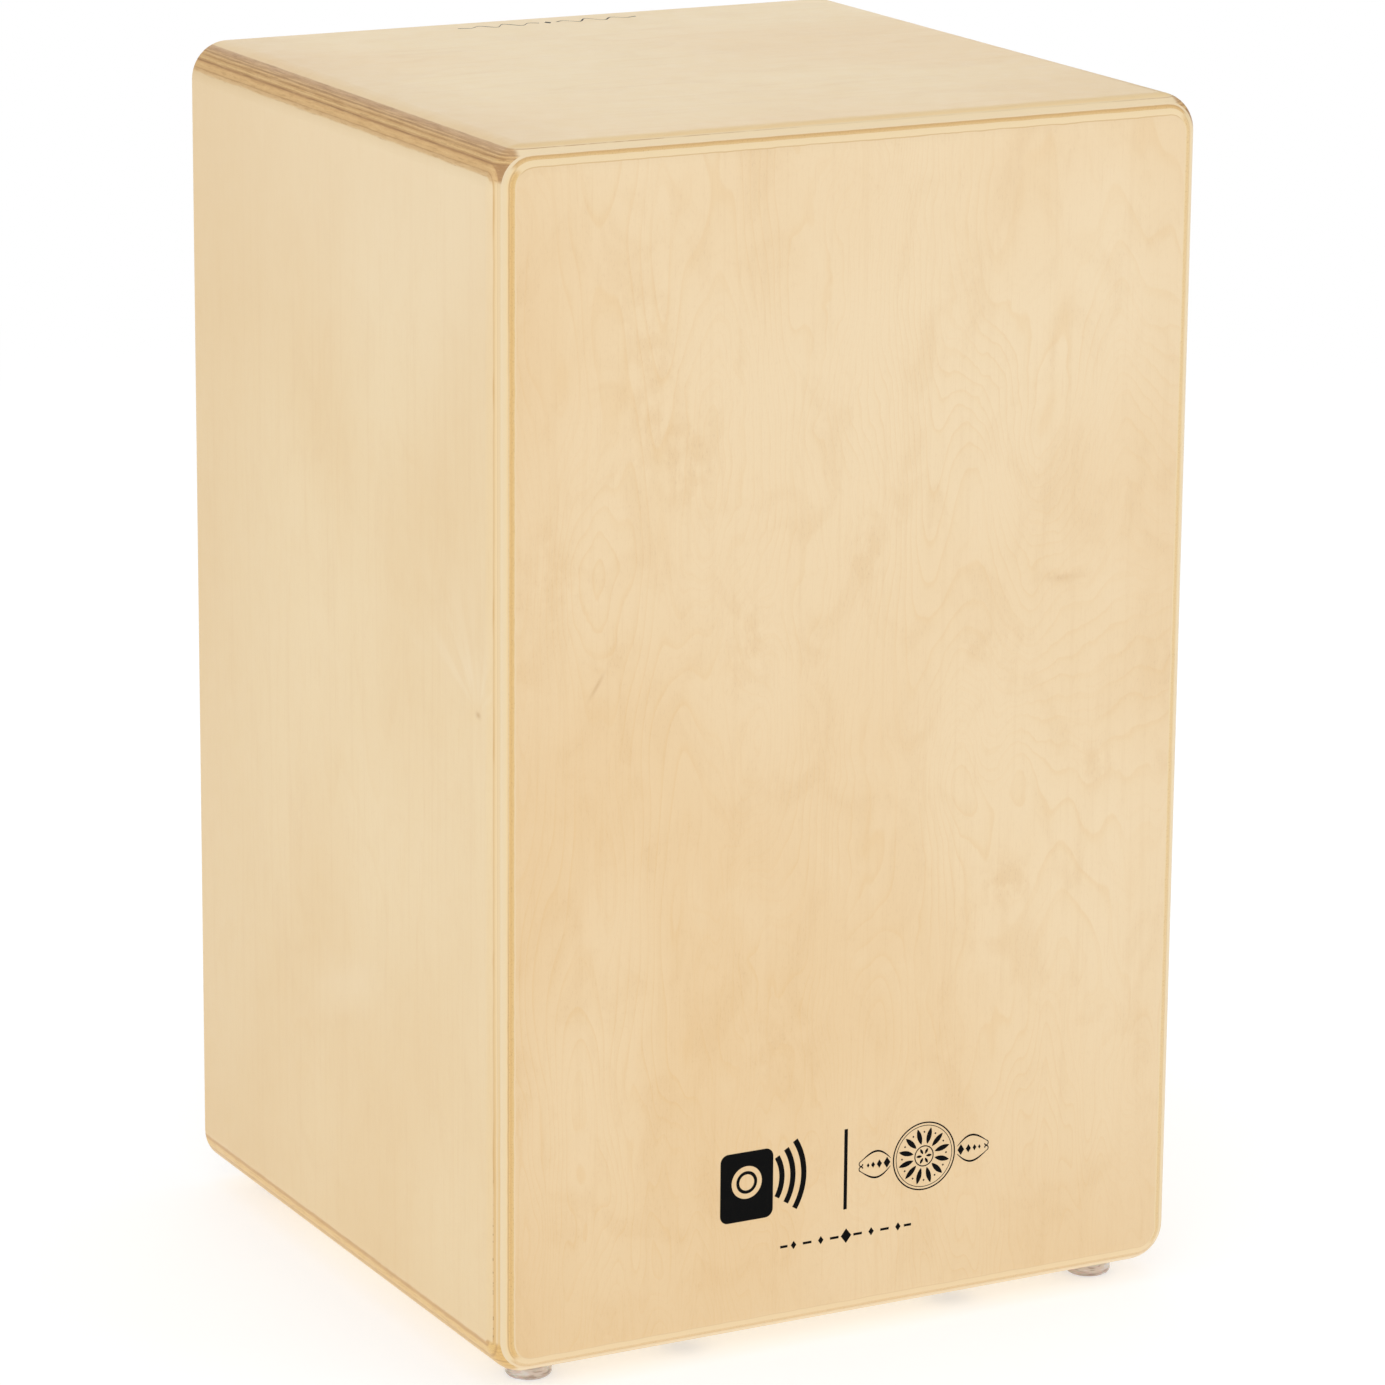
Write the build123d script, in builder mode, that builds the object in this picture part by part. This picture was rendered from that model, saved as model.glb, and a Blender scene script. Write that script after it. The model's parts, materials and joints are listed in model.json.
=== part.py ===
from build123d import *
import os
from math import atan2, degrees, sqrt

# String cajon: a plywood box drum that the player sits on.
# Frame: +Z up, the player's feet and hands are on the -Y side (the tapa), the
# sound hole is on +Y. The origin is on the floor, under the middle of the box.
# All sizes are in millimetres. Left is -X. Paired pieces are modelled on the
# left and mirrored to the right.

# --- driving dimensions ------------------------------------------------------
WIDTH = 300.0  # outer width of the box, X
DEPTH = 280.0  # outer depth of the box, tapa and back included, Y
HEIGHT = 472.0  # outer height of the box without its feet, Z
FOOT_H = 8.0  # height of the rubber feet

PANEL_T = 12.0  # top, bottom and side boards, birch plywood
TAPA_T = 3.0  # playing plate
BACK_T = 4.0  # back board
LIP_T = 6.6  # lip of the top and bottom boards that covers the side boards' ends

CORNER_R = 15.0  # rounding of the four long edges that run front to back
FRONT_R = 10.0  # roundover all round the tapa
REAR_R = 3.0  # roundover all round the rear edge

REBATE_W = 6.0  # border left around the back board
BACK_GAP = 0.15  # gap around the back board in its rebate
SOUND_HOLE_R = 57.5
SOUND_HOLE_Z = 262.0
SOUND_HOLE_EDGE = 0.8  # eased outer edge of the sound hole

BATTEN = 15.0  # section of the glue battens
BATTEN_EDGE = 1.0  # chamfer
BATTEN_BLUNT = 2.0  # flat left on the thin edges of the corner battens
LOWER_BATTEN_D = 26.0  # the lower front batten is deeper, because it carries the tension gear

RUN_GAP = 0.05  # running clearance of the turning and sliding parts
FIT_GAP = 0.02  # radial gap of the fixed round parts

# feet, with their screws and washers
FRONT_FOOT_X = 125.5  # from the middle
REAR_FOOT_X = 121.0
FOOT_Y = 117.0
FOOT_SPOTS = {
    "front_left_foot": (-FRONT_FOOT_X, -FOOT_Y),
    "front_right_foot": (FRONT_FOOT_X, -FOOT_Y),
    "rear_left_foot": (-REAR_FOOT_X, FOOT_Y),
    "rear_right_foot": (REAR_FOOT_X, FOOT_Y),
}
FOOT_TOP_R = 9.4
FOOT_BOTTOM_R = 9.1
FOOT_RECESS_R = 5.2
FOOT_RECESS_H = 4.5
FOOT_SCREW_R = 1.75
FOOT_SCREW_L = 15.0  # under the head, tip included
FOOT_SCREW_TIP = 3.0  # length of the conical tip
FOOT_BORE_R = FOOT_SCREW_R + 0.25  # bore of the foot and its washer
FOOT_WASHER_T = 0.8
FOOT_WASHER_GAP = 0.3  # around the washer in the recess
PILOT_GAP = 0.05
PILOT_FLOOR = 1.0  # wood left above the blind pilot holes

# tension bolts, with their bushes, washers and collars
BOLT_X = 60.0  # from the middle
BOLT_Y = -119.0  # behind the start of the front roundover
BOLT_R = 3.0  # M6, its thread drawn as a plain shank
BOLT_L = 70.0
BOLT_TIP_EDGE = 0.8
BOLT_HEAD_R = 5.0
BOLT_HEAD_H = 4.0
BOLT_HEAD_EDGE = 0.4
BOLT_KEY_AF = 4.0  # hex socket, across flats
BOLT_KEY_DEPTH = 2.4
BATTEN_BOLT_GAP = 1.0  # around the bolt in the lower front batten
COUNTERBORE_R = 7.0
COUNTERBORE_H = 8.0
BUSH_FLANGE_T = 1.0
BUSH_FLANGE_R = 6.5
BUSH_SLEEVE_R = 4.5
BOLT_WASHER_T = 1.0
BOLT_WASHER_R = 6.0
BOLT_WASHER_GAP = 0.2
COLLAR_R = 6.0
COLLAR_H = 5.0
COLLAR_EDGE = 0.5
COLLAR_LIFT = 0.3  # collar above the batten

# guide pins and string carriages
GUIDE_OFFSET = 16.0  # guide pin, from its bolt towards the middle
GUIDE_R = 1.98
GUIDE_L = 57.0
GUIDE_SEAT = 12.0  # depth of the guide pin's seat in the batten
GUIDE_SEAT_GAP = 0.1  # under the pin's foot
GUIDE_SLIDE_GAP = 0.07  # around the pin in the carriage
GUIDE_EDGE = 0.5
CARRIAGE_Z = 60.0  # middle of the string carriage at rest
CARRIAGE_L = 30.0
CARRIAGE_FRONT_Y = -135.0
CARRIAGE_D = 22.0
CARRIAGE_H = 12.0
CARRIAGE_EDGE = 0.6
CARRIAGE_SHIFT = 1.0  # outwards from midway between bolt and guide pin
STUD_R = 4.0  # button on the carriage that the string loops under
STUD_L = 1.6
STUD_RIM_W = 1.0
STUD_RIM_T = 0.25

# strings and their anchors
STRING_R = 0.5
STRING_Y = -135.78
PIN_STRING_GAP = 0.05  # between string and anchor pin
STUD_STRING_GAP = 0.1  # between string and stud
ANCHOR_Z = 446.0
ANCHOR_SPREAD = 35.0  # anchor pins, to each side of their bolt
ANCHOR_R = 1.25
ANCHOR_L = 11.2
ANCHOR_DEPTH = 10.0  # part of the pin inside the bar
ANCHOR_END_GAP = 0.2  # behind the pin in its hole
ANCHOR_HEAD_R = 2.4
ANCHOR_HEAD_T = 0.35
ANCHOR_HEAD_OUT = 1.15  # from the bar to the rear face of the pin's head
ANCHOR_BAR_Y = -135.2  # front face of the anchor bar, clear of the tapa
ANCHOR_BAR_D = 12.0

# --- derived levels and places -------------------------------------------------
Z_LOW = FOOT_H
Z_TOP = FOOT_H + HEIGHT
Z_MID = FOOT_H + HEIGHT / 2
Y_FRONT = -DEPTH / 2
Y_BODY = Y_FRONT + TAPA_T  # front ends of the boards, where the tapa is glued
Y_REAR = DEPTH / 2
Y_REBATE = Y_REAR - BACK_T
X_IN = WIDTH / 2 - PANEL_T  # inner face of a side board
Z_FLOOR = Z_LOW + PANEL_T  # inner face of the bottom board
Z_CEIL = Z_TOP - PANEL_T  # inner face of the top board
Z_BATTEN = Z_FLOOR + BATTEN  # upper face of the lower front batten
Z_SEAT = Z_LOW + COUNTERBORE_H  # ceiling of the bolt's counterbore
Z_WASHER = Z_SEAT - BUSH_FLANGE_T - RUN_GAP  # upper face of the bolt's washer
Z_HEAD = Z_WASHER - BOLT_WASHER_T  # upper face of the bolt's head

LEFT_BOLT = (-BOLT_X, BOLT_Y)
BOLT_SPOTS = [LEFT_BOLT, (BOLT_X, BOLT_Y)]
LEFT_GUIDE = (-BOLT_X + GUIDE_OFFSET, BOLT_Y)
GUIDE_SPOTS = [LEFT_GUIDE, (BOLT_X - GUIDE_OFFSET, BOLT_Y)]
ANCHOR_SPOTS = [
    (bolt_x + offset, ANCHOR_Z)
    for bolt_x in (-BOLT_X, BOLT_X)
    for offset in (-ANCHOR_SPREAD, ANCHOR_SPREAD)
]

os.makedirs("parts", exist_ok=True)


def xz(y):
    """A plane that faces -Y at a given y, with local axes +X and +Z."""
    return Plane.XZ.offset(-y)


def write(piece, name):
    """Label a piece and write its STEP file."""
    piece.label = name
    export_step(piece, f"parts/{name}.step")


def write_pair(left_piece, left_name):
    """Write a left piece and its mirror image on the right."""
    write(left_piece, left_name)
    with BuildPart() as right:
        add(left_piece)
        mirror(about=Plane.YZ, mode=Mode.REPLACE)
    write(right.part, left_name.replace("left", "right"))


# --- outer envelope of the box, which shapes the rims of all its boards --------
with BuildPart() as envelope:
    with BuildSketch(xz(Y_FRONT)):
        with Locations((0, Z_MID)):
            RectangleRounded(WIDTH, HEIGHT, CORNER_R)
    extrude(amount=-DEPTH)
    fillet(envelope.faces().sort_by(Axis.Y)[0].edges(), FRONT_R)
    fillet(envelope.faces().sort_by(Axis.Y)[-1].edges(), REAR_R)

# --- rebate that takes the back board; it runs out past the rear ----------------
with BuildPart() as back_rebate:
    with BuildSketch(xz(Y_REBATE)):
        with Locations((0, Z_MID)):
            RectangleRounded(
                WIDTH - 2 * REBATE_W, HEIGHT - 2 * REBATE_W, CORNER_R - REBATE_W
            )
    extrude(amount=-2 * BACK_T)

# --- tapa: thin playing plate, glued over the whole front -----------------------
with BuildPart() as tapa:
    with BuildSketch(xz(Y_BODY)):
        with Locations((0, Z_MID)):
            RectangleRounded(WIDTH, HEIGHT, CORNER_R)
    extrude(amount=TAPA_T)
    add(envelope.part, mode=Mode.INTERSECT)
write(tapa.part, "tapa")


# --- top and bottom boards -------------------------------------------------------
def end_board(z_outer, inward):
    """Board whose rebated ends lie over the side boards.
    inward is the Z direction from its outer face into the box, 1 or -1."""
    z_lip = z_outer + inward * LIP_T
    z_inner = z_outer + inward * PANEL_T
    with BuildPart() as board:
        with BuildSketch(xz(Y_BODY)):
            with BuildLine():
                Polyline(
                    (-WIDTH / 2, z_outer),
                    (WIDTH / 2, z_outer),
                    (WIDTH / 2, z_lip),
                    (X_IN, z_lip),
                    (X_IN, z_inner),
                    (-X_IN, z_inner),
                    (-X_IN, z_lip),
                    (-WIDTH / 2, z_lip),
                    close=True,
                )
            make_face()
        extrude(amount=-(DEPTH - TAPA_T))
        add(envelope.part, mode=Mode.INTERSECT)
        add(back_rebate.part, mode=Mode.SUBTRACT)
    return board.part


write(end_board(Z_TOP, -1), "top_panel")

with BuildPart() as bottom_panel:
    add(end_board(Z_LOW, 1))
    # counterbored seats for the bushes, from below
    with BuildSketch(Plane.XY.offset(Z_LOW)):
        with Locations(*BOLT_SPOTS):
            Circle(COUNTERBORE_R)
    extrude(amount=COUNTERBORE_H, mode=Mode.SUBTRACT)
    with BuildSketch(Plane.XY.offset(Z_SEAT)):
        with Locations(*BOLT_SPOTS):
            Circle(BUSH_SLEEVE_R)
    extrude(amount=PANEL_T, mode=Mode.SUBTRACT)
    # blind pilot holes for the foot screws
    with BuildSketch(Plane.XY.offset(Z_LOW)):
        with Locations(*FOOT_SPOTS.values()):
            Circle(FOOT_SCREW_R + PILOT_GAP)
    extrude(amount=PANEL_T - PILOT_FLOOR, mode=Mode.SUBTRACT)
write(bottom_panel.part, "bottom_panel")

# --- side boards ------------------------------------------------------------------
with BuildPart() as side_panel:
    with BuildSketch(xz(Y_BODY)):
        with Locations((-WIDTH / 2 + PANEL_T / 2, Z_MID)):
            Rectangle(PANEL_T, HEIGHT - 2 * LIP_T)
    extrude(amount=-(DEPTH - TAPA_T))
    add(envelope.part, mode=Mode.INTERSECT)
    add(back_rebate.part, mode=Mode.SUBTRACT)
write_pair(side_panel.part, "left_side_panel")

# --- back board with the sound hole -------------------------------------------------
with BuildPart() as back_panel:
    with BuildSketch(xz(Y_REBATE)):
        with Locations((0, Z_MID)):
            RectangleRounded(
                WIDTH - 2 * REBATE_W - 2 * BACK_GAP,
                HEIGHT - 2 * REBATE_W - 2 * BACK_GAP,
                CORNER_R - REBATE_W - BACK_GAP,
            )
        with Locations((0, SOUND_HOLE_Z)):
            Circle(SOUND_HOLE_R, mode=Mode.SUBTRACT)
    extrude(amount=-BACK_T)
    fillet(
        back_panel.edges()
        .filter_by(GeomType.CIRCLE)
        .filter_by(lambda e: abs(e.radius - SOUND_HOLE_R) < 0.01)
        .sort_by(Axis.Y)[-1],
        SOUND_HOLE_EDGE,
    )
write(back_panel.part, "back_panel")

# --- glue battens behind the tapa, their free inner edge chamfered --------------------
with BuildPart() as upper_front_batten:
    with BuildSketch(Plane.XY.offset(Z_CEIL)):
        with Locations((0, Y_BODY + BATTEN / 2)):
            Rectangle(2 * X_IN, BATTEN)
    extrude(amount=-BATTEN)
    chamfer(
        upper_front_batten.edges().filter_by(Axis.X).sort_by(Axis.Z)[:2].sort_by(Axis.Y)[-1],
        BATTEN_EDGE,
    )
write(upper_front_batten.part, "upper_front_batten")

with BuildPart() as lower_front_batten:
    with BuildSketch(Plane.XY.offset(Z_FLOOR)):
        with Locations((0, Y_BODY + LOWER_BATTEN_D / 2)):
            Rectangle(2 * X_IN, LOWER_BATTEN_D)
        with Locations(*BOLT_SPOTS):
            Circle(BOLT_R + BATTEN_BOLT_GAP, mode=Mode.SUBTRACT)
    extrude(amount=BATTEN)
    chamfer(
        lower_front_batten.edges().filter_by(Axis.X).sort_by(Axis.Z)[-2:].sort_by(Axis.Y)[-1],
        BATTEN_EDGE,
    )
    # seats of the guide pins
    with BuildSketch(Plane.XY.offset(Z_BATTEN)):
        with Locations(*GUIDE_SPOTS):
            Circle(GUIDE_R + FIT_GAP)
    extrude(amount=-GUIDE_SEAT, mode=Mode.SUBTRACT)
write(lower_front_batten.part, "lower_front_batten")

with BuildPart() as side_front_batten:
    with BuildSketch(Plane.XY.offset(Z_BATTEN)):
        with Locations((-X_IN + BATTEN / 2, Y_BODY + BATTEN / 2)):
            Rectangle(BATTEN, BATTEN)
    extrude(amount=Z_CEIL - Z_FLOOR - 2 * BATTEN)
    chamfer(
        side_front_batten.edges().filter_by(Axis.Z).sort_by(Axis.X)[-2:].sort_by(Axis.Y)[-1],
        BATTEN_EDGE,
    )
write_pair(side_front_batten.part, "left_front_batten")


# --- three-cornered glue battens in the four long inside corners ----------------------
def left_corner_batten(z_board, inward, front_batten_d):
    """Batten on the inner face of the top or bottom board, from the front batten to
    the back board. inward is the Z direction into the box, 1 or -1."""
    y_start = Y_BODY + front_batten_d
    with BuildPart() as batten:
        with BuildSketch(xz(y_start)):
            with BuildLine():
                Polyline(
                    (-X_IN, z_board),
                    (-X_IN + BATTEN, z_board),
                    (-X_IN + BATTEN, z_board + inward * BATTEN_BLUNT),
                    (-X_IN + BATTEN_BLUNT, z_board + inward * BATTEN),
                    (-X_IN, z_board + inward * BATTEN),
                    close=True,
                )
            make_face()
        extrude(amount=-(Y_REBATE - y_start))
    return batten.part


write_pair(left_corner_batten(Z_FLOOR, 1, LOWER_BATTEN_D), "lower_left_corner_batten")
write_pair(left_corner_batten(Z_CEIL, -1, BATTEN), "upper_left_corner_batten")

# --- rubber feet ------------------------------------------------------------------------
# height group of the rim, its rank by radius in that group, fillet radius
FOOT_FILLETS = [
    (0, -1, 2.0),  # outer bottom rim
    (0, 0, 0.5),  # mouth of the recess
    (-1, -1, 0.5),  # outer top rim
]
with BuildPart() as foot_shape:
    with BuildSketch(Plane.XZ):
        with BuildLine():
            Polyline(
                (FOOT_BORE_R, FOOT_H),
                (FOOT_TOP_R, FOOT_H),
                (FOOT_BOTTOM_R, 0),
                (FOOT_RECESS_R, 0),
                (FOOT_RECESS_R, FOOT_RECESS_H),
                (FOOT_BORE_R, FOOT_RECESS_H),
                close=True,
            )
        make_face()
    revolve(axis=Axis.Z)
    for level, rank, fillet_r in FOOT_FILLETS:
        rims = foot_shape.edges().filter_by(GeomType.CIRCLE).group_by(Axis.Z)[level]
        fillet(rims.sort_by(SortBy.RADIUS)[rank], fillet_r)

for foot_name, (foot_x, foot_y) in FOOT_SPOTS.items():
    with BuildPart() as foot:
        with Locations((foot_x, foot_y, 0)):
            add(foot_shape.part)
    write(foot.part, foot_name)

# --- pan-head screws that hold the feet, cross recess downwards ---------------------------
Z_SCREW_HEAD = FOOT_RECESS_H - FOOT_WASHER_T  # upper face of the head, under the washer
SCREW_HEAD_H = 2.3
# half section of the head: radius, distance below its upper face
SCREW_HEAD_PROFILE = [(0, SCREW_HEAD_H), (2.4, SCREW_HEAD_H), (3.3, 1.7), (3.6, 0.8), (3.6, 0)]
CROSS_SPAN = 3.6
CROSS_W = 0.8
CROSS_DEPTH = 1.5
CROSS_TAPER = 14  # degrees

with BuildPart() as foot_screw:
    with BuildSketch(Plane.XZ):
        with BuildLine():
            Polyline(
                *[(radius, Z_SCREW_HEAD - drop) for radius, drop in SCREW_HEAD_PROFILE],
                (FOOT_SCREW_R, Z_SCREW_HEAD),
                (FOOT_SCREW_R, Z_SCREW_HEAD + FOOT_SCREW_L - FOOT_SCREW_TIP),
                (0, Z_SCREW_HEAD + FOOT_SCREW_L),
                close=True,
            )
        make_face()
    revolve(axis=Axis.Z)
    with BuildSketch(Plane.XY.offset(Z_SCREW_HEAD - SCREW_HEAD_H)):
        Rectangle(CROSS_SPAN, CROSS_W)
        Rectangle(CROSS_W, CROSS_SPAN)
    extrude(amount=CROSS_DEPTH, taper=CROSS_TAPER, mode=Mode.SUBTRACT)

with BuildPart() as foot_screws:
    with Locations(*[(foot_x, foot_y, 0) for foot_x, foot_y in FOOT_SPOTS.values()]):
        add(foot_screw.part)
write(foot_screws.part, "foot_screws")

with BuildPart() as foot_washers:
    with BuildSketch(Plane.XY.offset(Z_SCREW_HEAD)):
        with Locations(*FOOT_SPOTS.values()):
            Circle(FOOT_RECESS_R - FOOT_WASHER_GAP)
            Circle(FOOT_BORE_R, mode=Mode.SUBTRACT)
    extrude(amount=FOOT_WASHER_T)
write(foot_washers.part, "foot_washers")

# --- bar and pins that hold the upper ends of the strings ---------------------------------
with BuildPart() as string_anchor_bar:
    with BuildSketch(Plane.XY.offset(Z_CEIL - BATTEN)):
        with Locations((0, ANCHOR_BAR_Y + ANCHOR_BAR_D / 2)):
            Rectangle(2 * X_IN - 2 * BATTEN, ANCHOR_BAR_D)
    extrude(amount=-BATTEN)
    chamfer(
        string_anchor_bar.edges().filter_by(Axis.X).sort_by(Axis.Z)[:2],
        BATTEN_EDGE,
    )
    with BuildSketch(xz(ANCHOR_BAR_Y)):
        with Locations(*ANCHOR_SPOTS):
            Circle(ANCHOR_R + FIT_GAP)
    extrude(amount=-(ANCHOR_DEPTH + ANCHOR_END_GAP), mode=Mode.SUBTRACT)
write(string_anchor_bar.part, "string_anchor_bar")

with BuildPart() as string_anchor_pins:
    with BuildSketch(xz(ANCHOR_BAR_Y + ANCHOR_DEPTH)):
        with Locations(*ANCHOR_SPOTS):
            Circle(ANCHOR_R)
    extrude(amount=ANCHOR_L)
    with BuildSketch(xz(ANCHOR_BAR_Y - ANCHOR_HEAD_OUT)):
        with Locations(*ANCHOR_SPOTS):
            Circle(ANCHOR_HEAD_R)
    extrude(amount=ANCHOR_HEAD_T)
write(string_anchor_pins.part, "string_anchor_pins")

# --- strings: each one loops over its two anchor pins and under its carriage's stud --------
PIN_LOOP_R = ANCHOR_R + STRING_R + PIN_STRING_GAP
STUD_LOOP_R = STUD_R + STRING_R + STUD_STRING_GAP


def outer_normal_angle(side):
    """Angle in degrees of the outward normal of the straight run from an anchor pin
    down to the stud, on the left (side -1) or right (side 1) of the bolt."""
    run_x = -side * ANCHOR_SPREAD
    run_z = -(ANCHOR_Z - CARRIAGE_Z)
    length = sqrt(run_x * run_x + run_z * run_z)
    unit_x, unit_z = run_x / length, run_z / length
    # parts of the normal along and across the line between the two centres
    along = (PIN_LOOP_R - STUD_LOOP_R) / length
    across = side * sqrt(1 - along * along)
    normal_x = unit_x * along - unit_z * across
    normal_z = unit_z * along + unit_x * across
    return degrees(atan2(normal_z, normal_x))


left_angle = outer_normal_angle(-1) % 360
right_angle = outer_normal_angle(1)
with BuildPart() as string:
    with BuildLine(xz(STRING_Y)) as route:
        left_pin = (-BOLT_X - ANCHOR_SPREAD, ANCHOR_Z)
        right_pin = (-BOLT_X + ANCHOR_SPREAD, ANCHOR_Z)
        stud = (-BOLT_X, CARRIAGE_Z)
        left_loop = CenterArc(left_pin, PIN_LOOP_R, 0, left_angle)
        under = CenterArc(stud, STUD_LOOP_R, left_angle, 360 + right_angle - left_angle)
        right_loop = CenterArc(right_pin, PIN_LOOP_R, right_angle, 180 - right_angle)
        Line(left_loop @ 1, under @ 0)
        Line(under @ 1, right_loop @ 0)
    with BuildSketch(Plane(origin=left_loop @ 0, z_dir=left_loop % 0)):
        Circle(STRING_R)
    sweep(path=route.wire())
write_pair(string.part, "left_string")

# --- string carriages: blocks that climb and sink on the tension bolts ---------------------
CARRIAGE_MID_X = -BOLT_X + GUIDE_OFFSET / 2 - CARRIAGE_SHIFT
with BuildPart() as string_carriage:
    with BuildSketch(Plane.XY.offset(CARRIAGE_Z - CARRIAGE_H / 2)):
        with Locations((CARRIAGE_MID_X, CARRIAGE_FRONT_Y + CARRIAGE_D / 2)):
            Rectangle(CARRIAGE_L, CARRIAGE_D)
    extrude(amount=CARRIAGE_H)
    chamfer(string_carriage.edges(), CARRIAGE_EDGE)
    # stud: a button and its thin rim, on the face towards the tapa
    with BuildSketch(xz(CARRIAGE_FRONT_Y)):
        with Locations((-BOLT_X, CARRIAGE_Z)):
            Circle(STUD_R)
    extrude(amount=STUD_L)
    with BuildSketch(xz(CARRIAGE_FRONT_Y - (STUD_L - STUD_RIM_T))):
        with Locations((-BOLT_X, CARRIAGE_Z)):
            Circle(STUD_R + STUD_RIM_W)
    extrude(amount=STUD_RIM_T)
    # bores for the bolt and the guide pin
    with BuildSketch(Plane.XY.offset(CARRIAGE_Z - CARRIAGE_H / 2)):
        with Locations(LEFT_BOLT):
            Circle(BOLT_R + RUN_GAP)
        with Locations(LEFT_GUIDE):
            Circle(GUIDE_R + GUIDE_SLIDE_GAP)
    extrude(amount=CARRIAGE_H, mode=Mode.SUBTRACT)
write_pair(string_carriage.part, "left_string_carriage")

# --- tension bolts: low heads with a hex socket, turned from under the box -------------------
with BuildPart() as tension_bolt:
    with BuildSketch(Plane.XY.offset(Z_HEAD - BOLT_HEAD_H)):
        with Locations(LEFT_BOLT):
            Circle(BOLT_HEAD_R)
    extrude(amount=BOLT_HEAD_H)
    chamfer(tension_bolt.edges().group_by(Axis.Z)[0], BOLT_HEAD_EDGE)
    with BuildSketch(Plane.XY.offset(Z_HEAD)):
        with Locations(LEFT_BOLT):
            Circle(BOLT_R)
    extrude(amount=BOLT_L)
    chamfer(tension_bolt.edges().group_by(Axis.Z)[-1], BOLT_TIP_EDGE)
    with BuildSketch(Plane.XY.offset(Z_HEAD - BOLT_HEAD_H)):
        with Locations(LEFT_BOLT):
            RegularPolygon(BOLT_KEY_AF / 2, 6, major_radius=False)
    extrude(amount=BOLT_KEY_DEPTH, mode=Mode.SUBTRACT)
write_pair(tension_bolt.part, "left_tension_bolt")

# --- flanged bushes in the bottom board ---------------------------------------------------------
with BuildPart() as tension_bush:
    with BuildSketch(Plane.XY.offset(Z_SEAT)):
        with Locations(LEFT_BOLT):
            Circle(BUSH_FLANGE_R)
    extrude(amount=-BUSH_FLANGE_T)
    with BuildSketch(Plane.XY.offset(Z_SEAT)):
        with Locations(LEFT_BOLT):
            Circle(BUSH_SLEEVE_R - FIT_GAP)
    extrude(amount=Z_FLOOR - Z_SEAT)
    with BuildSketch(Plane.XY.offset(Z_SEAT - BUSH_FLANGE_T)):
        with Locations(LEFT_BOLT):
            Circle(BOLT_R + RUN_GAP)
    extrude(amount=Z_FLOOR - Z_SEAT + BUSH_FLANGE_T, mode=Mode.SUBTRACT)
write_pair(tension_bush.part, "left_tension_bush")

# --- washers between the bolt heads and the bushes ------------------------------------------------
with BuildPart() as tension_washer:
    with BuildSketch(Plane.XY.offset(Z_HEAD)):
        with Locations(LEFT_BOLT):
            Circle(BOLT_WASHER_R)
            Circle(BOLT_R + BOLT_WASHER_GAP, mode=Mode.SUBTRACT)
    extrude(amount=BOLT_WASHER_T)
write_pair(tension_washer.part, "left_tension_washer")

# --- retaining collars on the bolts, above the lower front batten ---------------------------------
with BuildPart() as retaining_collar:
    with BuildSketch(Plane.XY.offset(Z_BATTEN + COLLAR_LIFT)):
        with Locations(LEFT_BOLT):
            Circle(COLLAR_R)
            Circle(BOLT_R + FIT_GAP, mode=Mode.SUBTRACT)
    extrude(amount=COLLAR_H)
    chamfer(
        retaining_collar.edges()
        .filter_by(GeomType.CIRCLE)
        .filter_by(lambda e: abs(e.radius - COLLAR_R) < 0.01),
        COLLAR_EDGE,
    )
write_pair(retaining_collar.part, "left_retaining_collar")

# --- guide pins beside the bolts --------------------------------------------------------------------
with BuildPart() as guide_pin:
    with BuildSketch(Plane.XY.offset(Z_BATTEN - GUIDE_SEAT + GUIDE_SEAT_GAP)):
        with Locations(LEFT_GUIDE):
            Circle(GUIDE_R)
    extrude(amount=GUIDE_L)
    chamfer(guide_pin.edges().group_by(Axis.Z)[-1], GUIDE_EDGE)
write_pair(guide_pin.part, "left_guide_pin")
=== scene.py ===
"""String cajon: a box drum of birch plywood on four clear feet, with strings inside the front.

It stands on the floor at z = 0 with the playing face (the tapa) towards -y, the back panel with
its sound hole towards +y, and left at -x. The CAD pieces come from the frame; this script gives
them materials, prints the ornaments, and builds detailed tension bolts and strings. Sizes are in
millimetres up to the point where a mesh is made; the studio at the end is in metres.
"""
import json
import math

import bpy
import bmesh
import numpy as np
from mathutils import Matrix, Vector

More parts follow.
